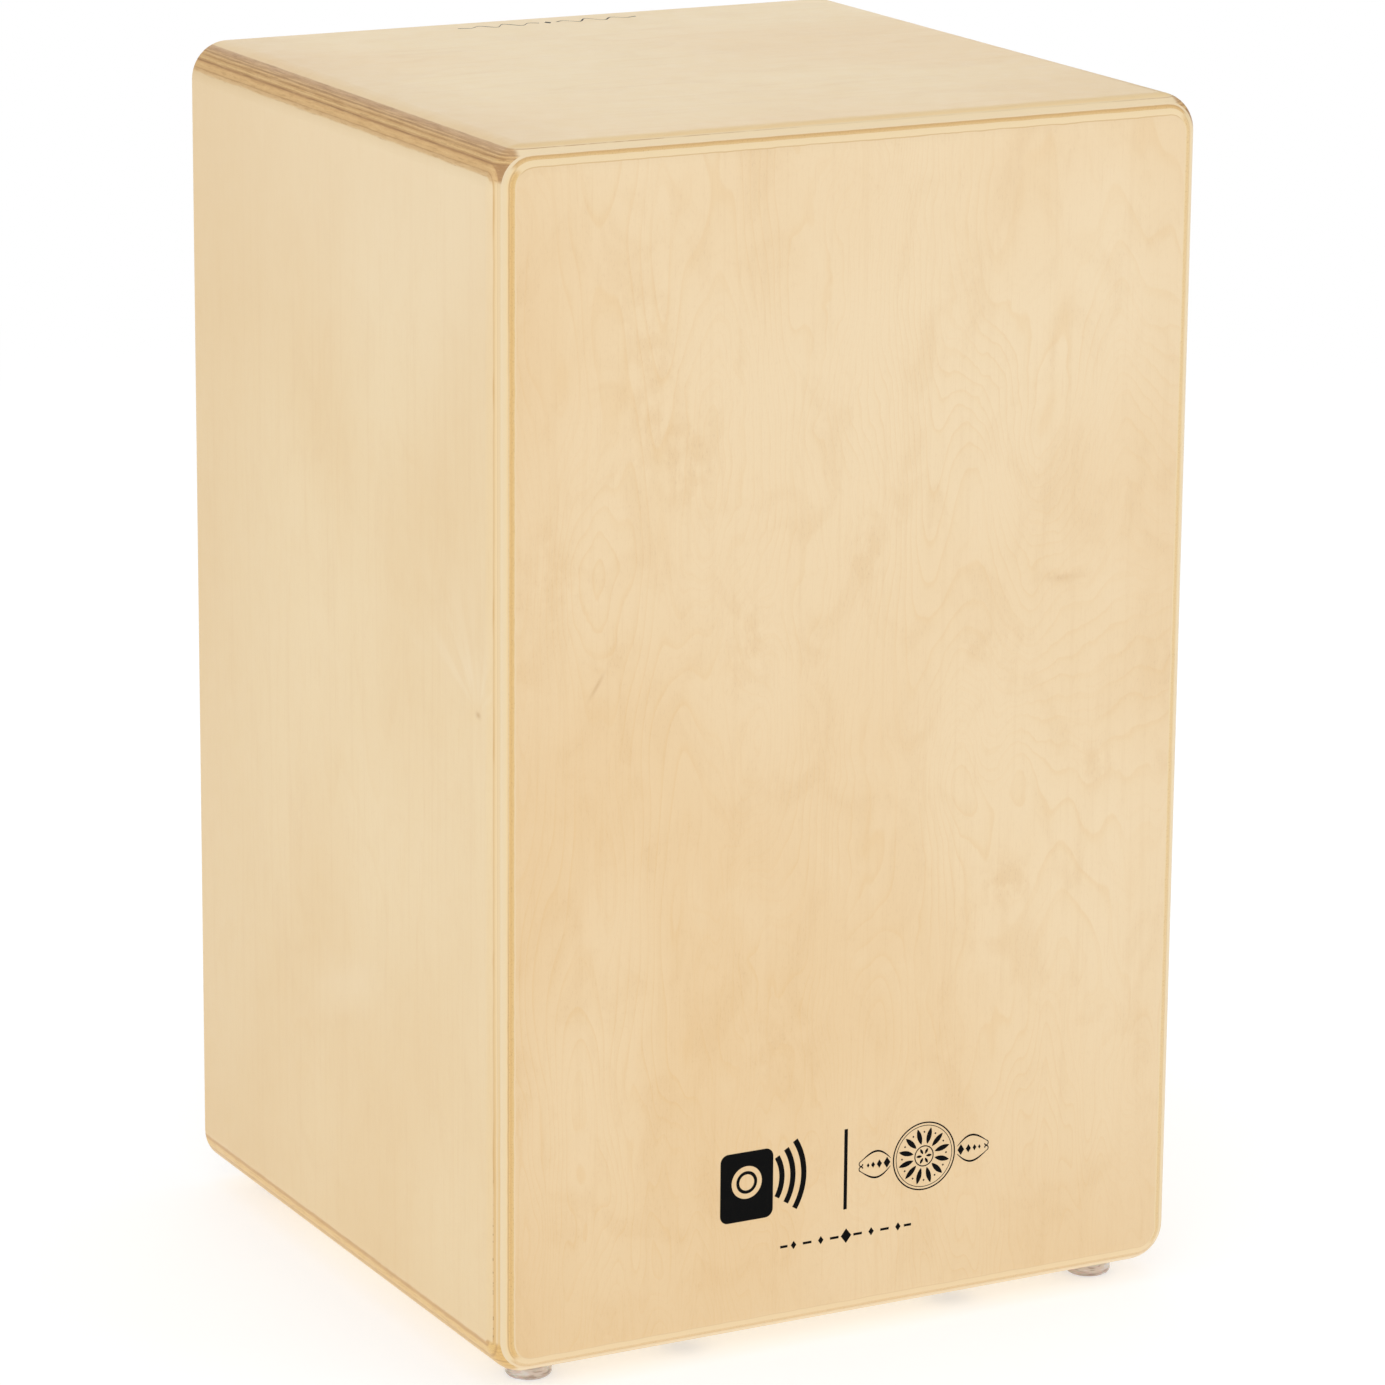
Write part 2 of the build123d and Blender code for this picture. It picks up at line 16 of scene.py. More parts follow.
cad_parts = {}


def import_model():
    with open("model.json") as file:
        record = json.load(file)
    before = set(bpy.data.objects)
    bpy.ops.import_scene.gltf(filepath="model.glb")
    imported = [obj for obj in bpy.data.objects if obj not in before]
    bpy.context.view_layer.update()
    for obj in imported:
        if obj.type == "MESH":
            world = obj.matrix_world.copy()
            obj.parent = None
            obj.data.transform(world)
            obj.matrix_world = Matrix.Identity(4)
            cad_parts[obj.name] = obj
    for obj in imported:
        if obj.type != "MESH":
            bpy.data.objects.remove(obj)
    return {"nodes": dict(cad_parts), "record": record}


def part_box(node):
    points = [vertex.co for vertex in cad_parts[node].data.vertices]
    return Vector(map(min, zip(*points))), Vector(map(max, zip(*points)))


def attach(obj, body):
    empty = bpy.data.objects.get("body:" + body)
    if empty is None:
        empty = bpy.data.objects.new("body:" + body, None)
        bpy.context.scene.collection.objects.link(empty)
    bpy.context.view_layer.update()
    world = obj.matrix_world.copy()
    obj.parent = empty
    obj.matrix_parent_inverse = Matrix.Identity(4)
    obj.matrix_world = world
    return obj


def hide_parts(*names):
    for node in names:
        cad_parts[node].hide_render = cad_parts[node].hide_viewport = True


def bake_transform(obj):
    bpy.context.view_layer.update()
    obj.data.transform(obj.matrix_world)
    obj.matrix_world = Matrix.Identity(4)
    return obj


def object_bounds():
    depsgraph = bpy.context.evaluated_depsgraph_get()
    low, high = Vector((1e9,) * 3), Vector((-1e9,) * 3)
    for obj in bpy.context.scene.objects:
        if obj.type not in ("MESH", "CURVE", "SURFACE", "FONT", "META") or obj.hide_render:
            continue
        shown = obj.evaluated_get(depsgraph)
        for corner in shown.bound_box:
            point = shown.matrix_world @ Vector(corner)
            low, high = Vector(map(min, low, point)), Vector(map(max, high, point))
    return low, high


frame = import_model()
CAD_LO, CAD_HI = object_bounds()
nodes = frame["nodes"]


def mm(value):
    """Millimetres to metres."""
    return value / 1000.0


def box_mm(node):
    """Low and high corner of a CAD piece, in millimetres."""
    lo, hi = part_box(node)
    return [c * 1000 for c in lo], [c * 1000 for c in hi]


# ---------------------------------------------------------------------------------------------
# levels read from the frame
# ---------------------------------------------------------------------------------------------
SIDE_LO, SIDE_HI = box_mm("left_side_panel")
TOP_HI = box_mm("top_panel")[1]
FRONT_Y = box_mm("tapa")[0][1]
BACK_Y = box_mm("back_panel")[1][1]
HALF_W = -SIDE_LO[0]
TOP_Z = TOP_HI[2]
LOW_Z = box_mm("bottom_panel")[0][2]
JOINT_TOP_Z = SIDE_HI[2]
JOINT_LOW_Z = SIDE_LO[2]
REAR_Y = TOP_HI[1]

# plywood of the box boards
PLY_COUNT = 9
BOARD_THICK = 12.0


# ---------------------------------------------------------------------------------------------
# node graphs written as Python expressions
# Colours are (r, g, b) display values from 0 to 255; lengths are in millimetres.
# ---------------------------------------------------------------------------------------------
def linear(*display):
    """A display colour as linear light, with alpha."""
    out = []
    for value in display:
        value /= 255.0
        out.append(value / 12.92 if value <= 0.04045 else ((value + 0.055) / 1.055) ** 2.4)
    return tuple(out) + (1.0,)


class Value:
    """A number in a graph, with ordinary arithmetic."""

    def __init__(self, graph, socket):
        self.graph, self.socket = graph, socket

    def __add__(self, other):
        return self.graph.math("ADD", self, other)

    __radd__ = __add__

    def __sub__(self, other):
        return self.graph.math("SUBTRACT", self, other)

    def __rsub__(self, other):
        return self.graph.math("SUBTRACT", other, self)

    def __mul__(self, other):
        return self.graph.math("MULTIPLY", self, other)

    def __truediv__(self, other):
        return self.graph.math("DIVIDE", self, other)

    def __neg__(self):
        return self.graph.math("MULTIPLY", self, -1.0)

    def __abs__(self):
        return self.graph.math("ABSOLUTE", self)

    def max(self, other):
        return self.graph.math("MAXIMUM", self, other)

    def fract(self):
        return self.graph.math("FRACT", self)

    def tanh(self):
        return self.graph.math("TANH", self)

    def fold(self):
        """Runs 0 to 1 and back, over and over."""
        return self.graph.math("PINGPONG", self, 1.0)

    def clamp(self):
        return self.graph.math("ADD", self, 0.0, clamp=True)

    def sway(self, reach):
        """A 0..1 value turned into a push of up to half of reach either way."""
        return (self - 0.5) * reach

    def smooth(self, start, end):
        """0 at start, 1 at end, an S-curve in between (start may be above end)."""
        falling = start > end
        node = self.graph.add("ShaderNodeMapRange", interpolation_type="SMOOTHSTEP")
        self.graph.put(node.inputs["Value"], self)
        node.inputs["From Min"].default_value = min(start, end)
        node.inputs["From Max"].default_value = max(start, end)
        node.inputs["To Min"].default_value = 1.0 if falling else 0.0
        node.inputs["To Max"].default_value = 0.0 if falling else 1.0
        return Value(self.graph, node.outputs[0])

    def band(self, low, high, soft):
        """1 between low and high, with soft sides."""
        return self.smooth(low - soft, low + soft) * self.smooth(high + soft, high - soft)

    def ramp(self, rows):
        """Colour by value. Rows: value, red, green, blue."""
        node = self.graph.add("ShaderNodeValToRGB")
        elements = node.color_ramp.elements
        elements.remove(elements[-1])
        low, high = rows[0][0], rows[-1][0]
        for i, (at, *display) in enumerate(rows):
            element = elements[0] if i == 0 else elements.new((at - low) / (high - low))
            element.color = linear(*display)
        self.graph.put(node.inputs[0], (self - low) / (high - low))
        return node.outputs[0]


class Graph:
    """A material. at is the place on the object in millimetres, normal the surface direction."""

    def __init__(self, name):
        self.material = bpy.data.materials.new(name)
        self.material.use_nodes = True
        self.tree = self.material.node_tree
        self.tree.nodes.clear()
        self.output = self.add("ShaderNodeOutputMaterial")
        coords = self.add("ShaderNodeTexCoord")
        scaled = self.add("ShaderNodeVectorMath", operation="SCALE")
        self.put(scaled.inputs[0], coords.outputs["Object"])
        scaled.inputs["Scale"].default_value = 1000.0
        self.at = self.split(scaled.outputs[0])
        self.normal = self.split(coords.outputs["Normal"])

    def add(self, kind, **settings):
        node = self.tree.nodes.new(kind)
        for key, value in settings.items():
            setattr(node, key, value)
        return node

    def put(self, socket, value):
        """Feeds a socket with a Value, another socket, a display colour or a number."""
        if isinstance(value, Value):
            value = value.socket
        if isinstance(value, bpy.types.NodeSocket):
            self.tree.links.new(value, socket)
        elif isinstance(value, tuple):
            socket.default_value = linear(*value)
        else:
            socket.default_value = value

    def math(self, kind, *args, clamp=False):
        node = self.add("ShaderNodeMath", operation=kind, use_clamp=clamp)
        for socket, value in zip(node.inputs, args):
            self.put(socket, value)
        return Value(self, node.outputs[0])

    def split(self, vector):
        node = self.add("ShaderNodeSeparateXYZ")
        self.put(node.inputs[0], vector)
        return [Value(self, socket) for socket in node.outputs]

    def noise(self, u, v, w=None, detail=2.0, rough=0.5, bend=0.0):
        """Noise with features about one unit wide: divide a length by the feature size wanted."""
        join = self.add("ShaderNodeCombineXYZ")
        for socket, value in zip(join.inputs, (u, v, 0.0 if w is None else w)):
            self.put(socket, value)
        node = self.add("ShaderNodeTexNoise", noise_dimensions="2D" if w is None else "3D")
        self.put(node.inputs["Vector"], join.outputs[0])
        node.inputs["Scale"].default_value = 1.0
        node.inputs["Detail"].default_value = detail
        node.inputs["Roughness"].default_value = rough
        node.inputs["Distortion"].default_value = bend
        return Value(self, node.outputs[0])

    def cloud(self, *sizes, **look):
        """Noise in space, with one feature size or one each for x, y and z."""
        if len(sizes) == 1:
            sizes *= 3
        return self.noise(*[c / size for c, size in zip(self.at, sizes)], **look)

    def bell(self, u, v, u_mid, v_mid, u_size, v_size, tilt=0.0):
        """A rounded hill, 1 at its middle, turned by tilt degrees."""
        du, dv = u - u_mid, v - v_mid
        if tilt:
            cos, sin = math.cos(math.radians(tilt)), math.sin(math.radians(tilt))
            du, dv = du * cos + dv * sin, dv * cos - du * sin
        across, along = du / u_size, dv / v_size
        return self.math("EXPONENT", -(across * across + along * along))

    def hills(self, u, v, rows, total=None):
        """Adds hills to total. Rows: middle u, v, size u, v, then height and tilt if given.
        A negative height is a hollow."""
        for u_mid, v_mid, u_size, v_size, *more in rows:
            tilt = more[1] if len(more) > 1 else 0.0
            hill = self.bell(u, v, u_mid, v_mid, u_size, v_size, tilt)
            if more:
                hill = hill * abs(more[0])
            if total is None:
                total = hill
            elif more and more[0] < 0:
                total = total - hill
            else:
                total = total + hill
        return total

    def mix(self, amount, under, over):
        """Lays the colour over on the colour under."""
        node = self.add("ShaderNodeMix", data_type="RGBA")
        self.put(node.inputs[0], amount)
        self.put(node.inputs[6], under)
        self.put(node.inputs[7], over)
        return node.outputs[2]

    def bump(self, height, distance, normal=None):
        """Relief from a 0..1 height, distance deep."""
        node = self.add("ShaderNodeBump")
        node.inputs["Distance"].default_value = mm(distance)
        self.put(node.inputs["Height"], height)
        if normal is not None:
            self.put(node.inputs["Normal"], normal)
        return node.outputs[0]

    def surface(self, base, rough, normal, **inputs):
        shader = self.add("ShaderNodeBsdfPrincipled")
        self.put(shader.inputs["Base Color"], base)
        self.put(shader.inputs["Roughness"], rough)
        self.put(shader.inputs["Normal"], normal)
        for key, value in inputs.items():
            self.put(shader.inputs[key.replace("_", " ")], value)
        self.put(self.output.inputs["Surface"], shader.outputs[0])
        return self.material


# ---------------------------------------------------------------------------------------------
# birch, shared parts
# ---------------------------------------------------------------------------------------------
TAN = (226, 192, 143)
UMBER = (196, 152, 104)  # pores
END_DARK = (150, 110, 74)  # pores in end grain
LATE = (226, 176, 100)  # late wood lines
SHADE = (230, 194, 134)  # wood darkening towards a late wood line
GLUE = (170, 128, 84)
INSIDE = (214, 184, 142)  # board faces inside the box


def late_line(turn):
    """Late wood at the end of each ring; turn runs 0..1 through a ring."""
    return turn.smooth(0.72, 0.93) * turn.smooth(1.0, 0.93)


def veneer(mat, across, along, rings, seed, cream, pale, tan, figure=1.0, blotch=1.0, spots=None):
    """Rotary-cut birch. across and along are lengths relative to the grain; rings is a height
    field with one ring per unit. figure scales the rings and blotch the mottling.
    Returns (colour, bump height 0..1)."""
    turn = rings.fract()
    line = late_line(turn)
    shade = turn.smooth(0.10, 0.95) * turn.smooth(1.0, 0.95)
    # how strongly the rings show changes over the sheet
    strength = mat.noise(across / 42 + seed, along / 60 - seed).smooth(0.34, 0.64)
    mottle = mat.noise(
        across / 21 - seed, along / 36 + seed * 2, detail=4.0, rough=0.58, bend=0.5
    )
    wide = mat.noise(across / 120 + seed * 3, along / 200 + seed, detail=1.0)
    fibre = mat.noise(across / 0.9 + seed, along / 26.0, detail=3.0, rough=0.62)
    strand = mat.noise(across / 3.6 + seed, along / 150.0 - seed)
    pores = mat.noise(across / 0.7, along / 2.6 + seed, detail=3.0, rough=0.75)
    ripple = mat.noise(across / 3.2 - seed, along / 1.7, detail=1.0)  # faint, from the cutting
    patch = mottle.smooth(0.46, 0.74)
    light = mottle.smooth(0.46, 0.24)
    if spots is not None:
        patch = (patch * 0.7 + spots).clamp()
    # base tone and mottling
    col = mat.mix(wide.smooth(0.30, 0.70), pale, cream)
    col = mat.mix(light * (0.40 * blotch), col, pale)
    col = mat.mix(patch * (0.34 * blotch), col, tan)
    # rings, with a finer set where the main ones are weak
    fine_line = late_line((rings * 2.0 + 0.37).fract())
    col = mat.mix(shade * (strength * 0.7 + 0.3) * (0.10 * figure), col, SHADE)
    col = mat.mix(line * (strength * 0.75 + 0.25) * (0.17 * figure), col, LATE)
    col = mat.mix(fine_line * (1.0 - strength) * (0.09 * figure), col, LATE)
    # strands, dark and pale fibres, pores
    col = mat.mix(strand.smooth(0.54, 0.74) * 0.10, col, tan)
    col = mat.mix(fibre.smooth(0.56, 0.80) * 0.20, col, tan)
    col = mat.mix(fibre.smooth(0.44, 0.20) * 0.20, col, pale)
    speck = pores.smooth(0.54, 0.72) * (patch * 0.7 + 0.30)
    col = mat.mix(speck * (0.26 * blotch), col, UMBER)
    col = mat.mix(ripple.smooth(0.58, 0.78) * 0.05, col, tan)
    height = fibre * 0.55 + (1.0 - speck) * 0.35 - line * 0.10
    return col, height


def varnish(mat, col, height, seed, rough=0.40, coat=0.10):
    """Satin lacquer over the wood: fibres telegraph through, and the film has its own ripple."""
    x, y, z = mat.at
    film = mat.noise(x / 7.0 + seed, y / 7.0, z / 7.0, detail=1.0)
    dust = mat.noise(x / 0.8, y / 0.8 + seed, z / 0.8, detail=1.0)
    normal = mat.bump(height, distance=0.035)
    normal = mat.bump(film * 0.8 + dust * 0.2, 0.05, normal)
    return mat.surface(
        col,
        rough + film.sway(0.14) + dust.sway(0.08),
        normal,
        IOR=1.5,
        Coat_Weight=coat,
        Coat_Roughness=0.20,
        Coat_IOR=1.45,
        Specular_IOR_Level=0.40,
    )


def stacked_plies(mat, depth, long_ply, cross_ply):
    """Plies on a rear edge; every other one shows end grain. Returns (colour, end grain 0..1)."""
    ply = depth * (PLY_COUNT / BOARD_THICK)
    cross = ply.fold().smooth(0.42, 0.58)
    col = mat.mix(cross, long_ply, cross_ply)
    glue_line = abs(ply.fold() - 0.5).smooth(0.07, 0.0)
    return mat.mix(glue_line * 0.45, col, GLUE), cross


def joint_line(z, level):
    """A thin line at a height."""
    return abs(z - level).smooth(0.30, 0.08)


def inside_tone(mat, depth, col):
    """Board faces inside the box are duller."""
    return mat.mix(depth.smooth(11.0, 11.8) * 0.55, col, INSIDE)


# ---------------------------------------------------------------------------------------------
# tapa
# ---------------------------------------------------------------------------------------------
# hills and hollows of the ring field: middle x, z, size x, z, height
TAPA_HILLS = (
    (50.0, 350.0, 17.0, 42.0, -2.3), (84.0, 352.0, 15.0, 34.0, 1.9),
    (118.0, 350.0, 16.0, 44.0, -1.2), (46.0, 222.0, 16.0, 26.0, -2.0),
    (60.0, 232.0, 8.0, 18.0, 1.0), (76.0, 220.0, 12.0, 24.0, -1.4),
    (-34.0, 298.0, 14.0, 28.0, 2.1), (-37.0, 168.0, 13.0, 44.0, 2.4),
    (-62.0, 360.0, 9.0, 46.0, -1.8), (-112.0, 322.0, 12.0, 26.0, -1.5),
)
# darker spots: middle x, z, size x, z, strength where it isn't plain
TAPA_SPOTS = (
    (-88.0, 395.0, 12.0, 34.0), (-72.0, 356.0, 14.0, 18.0), (-45.0, 285.0, 10.0, 18.0),
    (5.0, 314.0, 6.0, 8.0, 1.8), (70.0, 177.0, 11.0, 10.0, 1.5), (60.0, 272.0, 14.0, 6.0),
    (92.0, 297.0, 10.0, 3.4, 1.3), (-128.0, 320.0, 12.0, 18.0), (-103.0, 287.0, 11.0, 7.0),
    (-30.0, 125.0, 16.0, 13.0), (108.0, 220.0, 8.0, 10.0), (140.0, 252.0, 5.0, 16.0),
)
# plies on the roundover: depth behind the front face, colour
TAPA_SIDE_PLIES = (
    (0.0, 240, 216, 176), (0.34, 238, 212, 170), (0.44, 232, 197, 136), (0.80, 226, 184, 118),
    (1.08, 233, 196, 132), (1.18, 213, 174, 120), (1.30, 222, 184, 130), (1.42, 243, 214, 162),
    (1.80, 240, 216, 172), (3.00, 238, 216, 178),
)
TAPA_END_PLIES = (
    (0.0, 240, 216, 176), (0.24, 238, 212, 170), (0.28, 218, 182, 130), (0.33, 222, 188, 138),
    (0.40, 243, 218, 174), (1.24, 243, 218, 174), (1.34, 232, 198, 142), (1.80, 226, 186, 126),
    (2.12, 214, 174, 118), (2.24, 226, 190, 138), (2.36, 242, 219, 180), (3.00, 241, 219, 181),
)


def tapa_rings(mat):
    """A steep straight-grained column, a slope to its right with nested hollows and hills, two
    long islands on the left, and finer variation towards the bottom."""
    x, _, z = mat.at
    ragged_x = x + mat.noise(x / 34 + 3, z / 60 + 8, detail=3.0).sway(15.0)
    ragged_z = z + mat.noise(x / 17 + 9, z / 24 + 4, detail=3.0, rough=0.55).sway(13.0)
    column = ragged_x + 10.0 - mat.bell(x, z, 20.0, 490.0, 90.0, 95.0) * 19.0
    right = ragged_x.smooth(-4.0, 62.0)
    rise = (column / 24.0).tanh() * 4.6 + ((ragged_z - 300.0) / 95.0).tanh() * right * 5.2
    rise = mat.hills(ragged_x, ragged_z, TAPA_HILLS, rise)
    broad = mat.noise(x / 44 + 3, z / 210 + 1, rough=0.4).sway(7.0)
    low = mat.noise(x / 25 + 41, z / 105 + 3, rough=0.4).sway(8.0)
    return (rise + broad * (1.0 - right * 0.6) + low * z.smooth(170.0, 60.0)) * 2.3


def tapa_edge(mat, depth):
    """Plies on the roundover. Returns (colour, fleck)."""
    x, _, z = mat.at
    normal_x, _, normal_z = mat.normal
    sides = depth.ramp(TAPA_SIDE_PLIES)
    ends = depth.ramp(TAPA_END_PLIES)
    up = (abs(normal_z) - abs(normal_x)).smooth(-0.12, 0.12)
    # the dark glue line shows only half way up the sides; the lower edge is weaker
    glue = depth.band(1.12, 1.36, 0.04) * z.smooth(150.0, 240.0) * z.smooth(440.0, 380.0)
    sides = mat.mix(glue * 0.75, sides, (238, 210, 162))
    ends = mat.mix(z.smooth(240.0, 200.0) * 0.55, ends, (238, 210, 166))
    sides = mat.mix(x.smooth(0.0, 60.0) * 0.45, sides, (240, 215, 168))
    plies = mat.mix(up, sides, ends)
    # flecks, strongest on the plies that show end grain
    fleck = mat.cloud(0.5, 0.28, 0.5, rough=0.7)
    end_grain = depth.band(0.40, 1.25, 0.06) * (1.0 - up) + depth.band(1.3, 2.3, 0.06) * up
    amount = fleck.smooth(0.52, 0.76) * (end_grain * 0.48 + 0.06)
    return mat.mix(amount, plies, (178, 134, 84)), fleck


def tapa_material():
    mat = Graph("tapa_birch")
    x, y, z = mat.at
    rings = tapa_rings(mat)
    spots = mat.hills(x, z, TAPA_SPOTS)
    ragged = mat.noise(x / 6.5, z / 11, detail=4.0, rough=0.62).smooth(0.34, 0.66)
    face, height = veneer(
        mat, x, z, rings, seed=1.7, spots=spots * ragged,
        cream=(237, 206, 160), pale=(241, 215, 174), tan=(222, 182, 126),
    )
    # a little paler towards the upper right corner and warmer towards the lower left
    diagonal = x / 300.0 + (z - 244.0) / 472.0 + mat.noise(x / 90, z / 90, detail=1.0).sway(0.3)
    diagonal = diagonal.smooth(-0.75, 0.75)
    face = mat.mix((1.0 - diagonal) * 0.22, face, (234, 196, 140))
    face = mat.mix(diagonal * 0.22, face, (246, 230, 200))
    # painted shade: a broad darker, warmer tone towards the edges of the face
    painted_edge_shade = (HALF_W - abs(x)).smooth(40.0, 0.0) * 0.6 + (z - LOW_Z).smooth(110.0, 0.0) * 0.5
    face = mat.mix((painted_edge_shade * 0.30).clamp(), face, (229, 196, 148))
    # two small marks of this sheet
    slanted = mat.bell(x, z, -109.0, 276.0, 5.0, 0.8, tilt=57.0)
    face = mat.mix(slanted * 0.34, face, (190, 140, 84))
    flat = mat.bell(x, z, 92.0, 296.0, 8.0, 1.3)
    face = mat.mix(flat * 0.14, face, (196, 146, 88))
    depth = y - FRONT_Y + mat.noise(x / 9.0, z / 9.0).sway(0.16)
    plies, fleck = tapa_edge(mat, depth)
    on_edge = depth.smooth(0.22, 0.34)
    col = mat.mix(on_edge, face, plies)
    inner = mat.normal[1].smooth(0.5, 0.8)
    col = mat.mix(inner * 0.5, col, (222, 192, 150))
    height = height * (1.0 - on_edge) + fleck * on_edge * 0.8
    return varnish(mat, col, height, seed=2.0)


# ---------------------------------------------------------------------------------------------
# side boards: across the grain is y, along it z
# ---------------------------------------------------------------------------------------------
# ring field: middle across, along, size across, along, height
SIDE_HILLS = (
    (30.0, 180.0, 10.0, 48.0, 2.0), (37.0, 66.0, 16.0, 32.0, -2.2),
    (-27.0, 158.0, 22.0, 44.0, 1.9), (-64.0, 385.0, 18.0, 40.0, -1.6),
    (8.0, 400.0, 20.0, 70.0, 1.4),
)
# darker spots: middle across, along, size across, along, strength, tilt
SIDE_SPOTS = (
    (38.0, 188.0, 8.0, 24.0, 0.7), (44.0, 128.0, 22.0, 4.0, 0.8, -22.0),
    (8.0, 108.0, 20.0, 3.0, 0.9, -24.0), (28.0, 335.0, 24.0, 5.0, 0.8, -14.0),
    (-60.0, 302.0, 14.0, 6.0, 0.6), (-72.0, 398.0, 3.0, 30.0, 0.5),
)
# plies by depth behind the outer face, colour
SIDE_FRONT_PLIES = (
    (0.0, 238, 213, 170), (0.90, 241, 216, 174), (1.34, 239, 211, 162), (1.94, 240, 213, 166),
    (2.04, 224, 194, 146), (2.16, 238, 212, 168), (2.90, 238, 215, 176), (3.40, 238, 215, 176),
)
SIDE_UPPER_PLIES = (
    (0.0, 238, 214, 172), (0.46, 237, 211, 166), (0.60, 226, 190, 138), (0.94, 218, 180, 128),
    (1.04, 196, 154, 104), (1.16, 222, 182, 126), (1.70, 228, 188, 130), (2.20, 220, 178, 122),
    (2.40, 192, 148, 100), (3.20, 186, 144, 98),
)
SIDE_LOWER_PLIES = (
    (0.0, 238, 214, 172), (0.07, 236, 208, 160), (0.15, 210, 166, 106), (0.30, 210, 166, 104),
    (0.50, 231, 193, 124), (1.40, 232, 193, 122), (1.90, 204, 160, 98), (2.30, 226, 185, 114),
    (3.20, 228, 186, 114),
)
KNOT_Y, KNOT_Z = -124.0, 266.0


def side_face(mat, side):
    """The outer face. side is -1 on the left, +1 on the right. Returns (colour, height)."""
    _, y, z = mat.at
    across = y + (50.0 if side > 0 else 0.0)  # a different stretch of veneer on each board
    bend = mat.noise(across / 70 + 2 + side, z / 90).sway(24.0)
    ragged = mat.noise(across / 30 + 7, z / 70 + side).sway(9.0)
    ragged_y, ragged_z = across + ragged, z + ragged * 1.6
    rings = (
        ((ragged_y - 95.0) / 46.0).tanh() * 9.0
        + ((ragged_y + 108.0) / 30.0).tanh() * 5.0
        + mat.noise((across + bend) / 50 + 5 * side, z / 260 + 2, rough=0.42).sway(4.0)
    )
    rings = mat.hills(ragged_y, ragged_z, SIDE_HILLS, rings)
    spots = mat.hills(across, z, SIDE_SPOTS)
    spots = spots * mat.noise(across / 7, z / 11, detail=3.0, rough=0.6).smooth(0.30, 0.62)
    face, height = veneer(
        mat, across, z, rings, seed=5.3 + side * 1.1, figure=0.27, blotch=0.40, spots=spots,
        cream=(235, 205, 155), pale=(239, 213, 167), tan=(225, 186, 129),
    )
    # a pale slanted patch in the veneer
    pale_patch = mat.bell(across, z, -8.0, 128.0, 30.0, 10.0, tilt=-20.0)
    face = mat.mix(pale_patch * 0.25, face, (245, 226, 190))
    # painted light: paler at the top; painted shade: darker and warmer to the rear and at the
    # bottom
    face = mat.mix(z.smooth(330.0, 470.0) * 0.45, face, (241, 219, 182))
    face = mat.mix(y.smooth(10.0, 145.0) * 0.40, face, (226, 193, 140))
    face = mat.mix(z.smooth(90.0, 10.0) * 0.25, face, (228, 194, 140))
    return pin_knot(mat, face, 1.0 if side < 0 else 0.0), height


def pin_knot(mat, face, shown):
    """A pin knot with a fan of pale rays; shown is 1 on the left board and 0 on the right."""
    _, y, z = mat.at
    dy, dz = y - KNOT_Y, z - KNOT_Z
    radius = mat.math("SQRT", dy * dy + dz * dz)
    angle = mat.math("ARCTAN2", dz, dy)
    rays = mat.noise(angle * 4.0 + 3.0, radius / 60.0)
    fan = dz.smooth(-3.0, 16.0) * dy.smooth(-26.0, -2.0)
    halo = mat.math("EXPONENT", -(radius / 30.0)) * radius.smooth(1.5, 7.0) * fan
    amount = (rays.smooth(0.40, 0.70) * 0.6 + 0.25) * halo * (0.55 * shown)
    face = mat.mix(amount, face, (248, 232, 202))
    core = mat.bell(y, z, KNOT_Y, KNOT_Z, 1.9, 1.2)
    return mat.mix(core * (0.7 * shown), face, (206, 166, 112))


def side_front(mat, depth, fleck):
    """Plies on the front roundover."""
    z = mat.at[2]
    # the outermost glue band is strongest at both ends and in a few stretches between
    stretches = mat.noise(z / 40.0, 3.0).smooth(0.50, 0.66) * 0.55
    wedge = z.smooth(455.0, 480.0).max(z.smooth(40.0, 12.0)).max(stretches)
    low = z.smooth(190.0, 60.0)
    col = depth.ramp(SIDE_FRONT_PLIES)
    outer = depth.band(0.94, 1.34, 0.10) * (wedge * 0.60 + 0.48).clamp()
    col = mat.mix(outer, col, (214, 172, 112))
    middle = depth.band(1.20, 1.74, 0.14) * (low * 0.55 + 0.10)
    col = mat.mix(middle, col, (221, 178, 112))
    inner = depth.band(2.24, 2.80, 0.10) * (low * 0.45 + 0.22)
    col = mat.mix(inner, col, (226, 186, 122))
    # dark pits near the bottom
    pits = mat.noise(z / 2.6, 4.0, rough=0.6).smooth(0.52, 0.66)
    pitted = depth.band(0.98, 1.16, 0.05) * z.smooth(110.0, 40.0) * pits
    col = mat.mix(pitted * 0.75, col, (150, 112, 66))
    return mat.mix(fleck.smooth(0.52, 0.75) * 0.14, col, TAN)


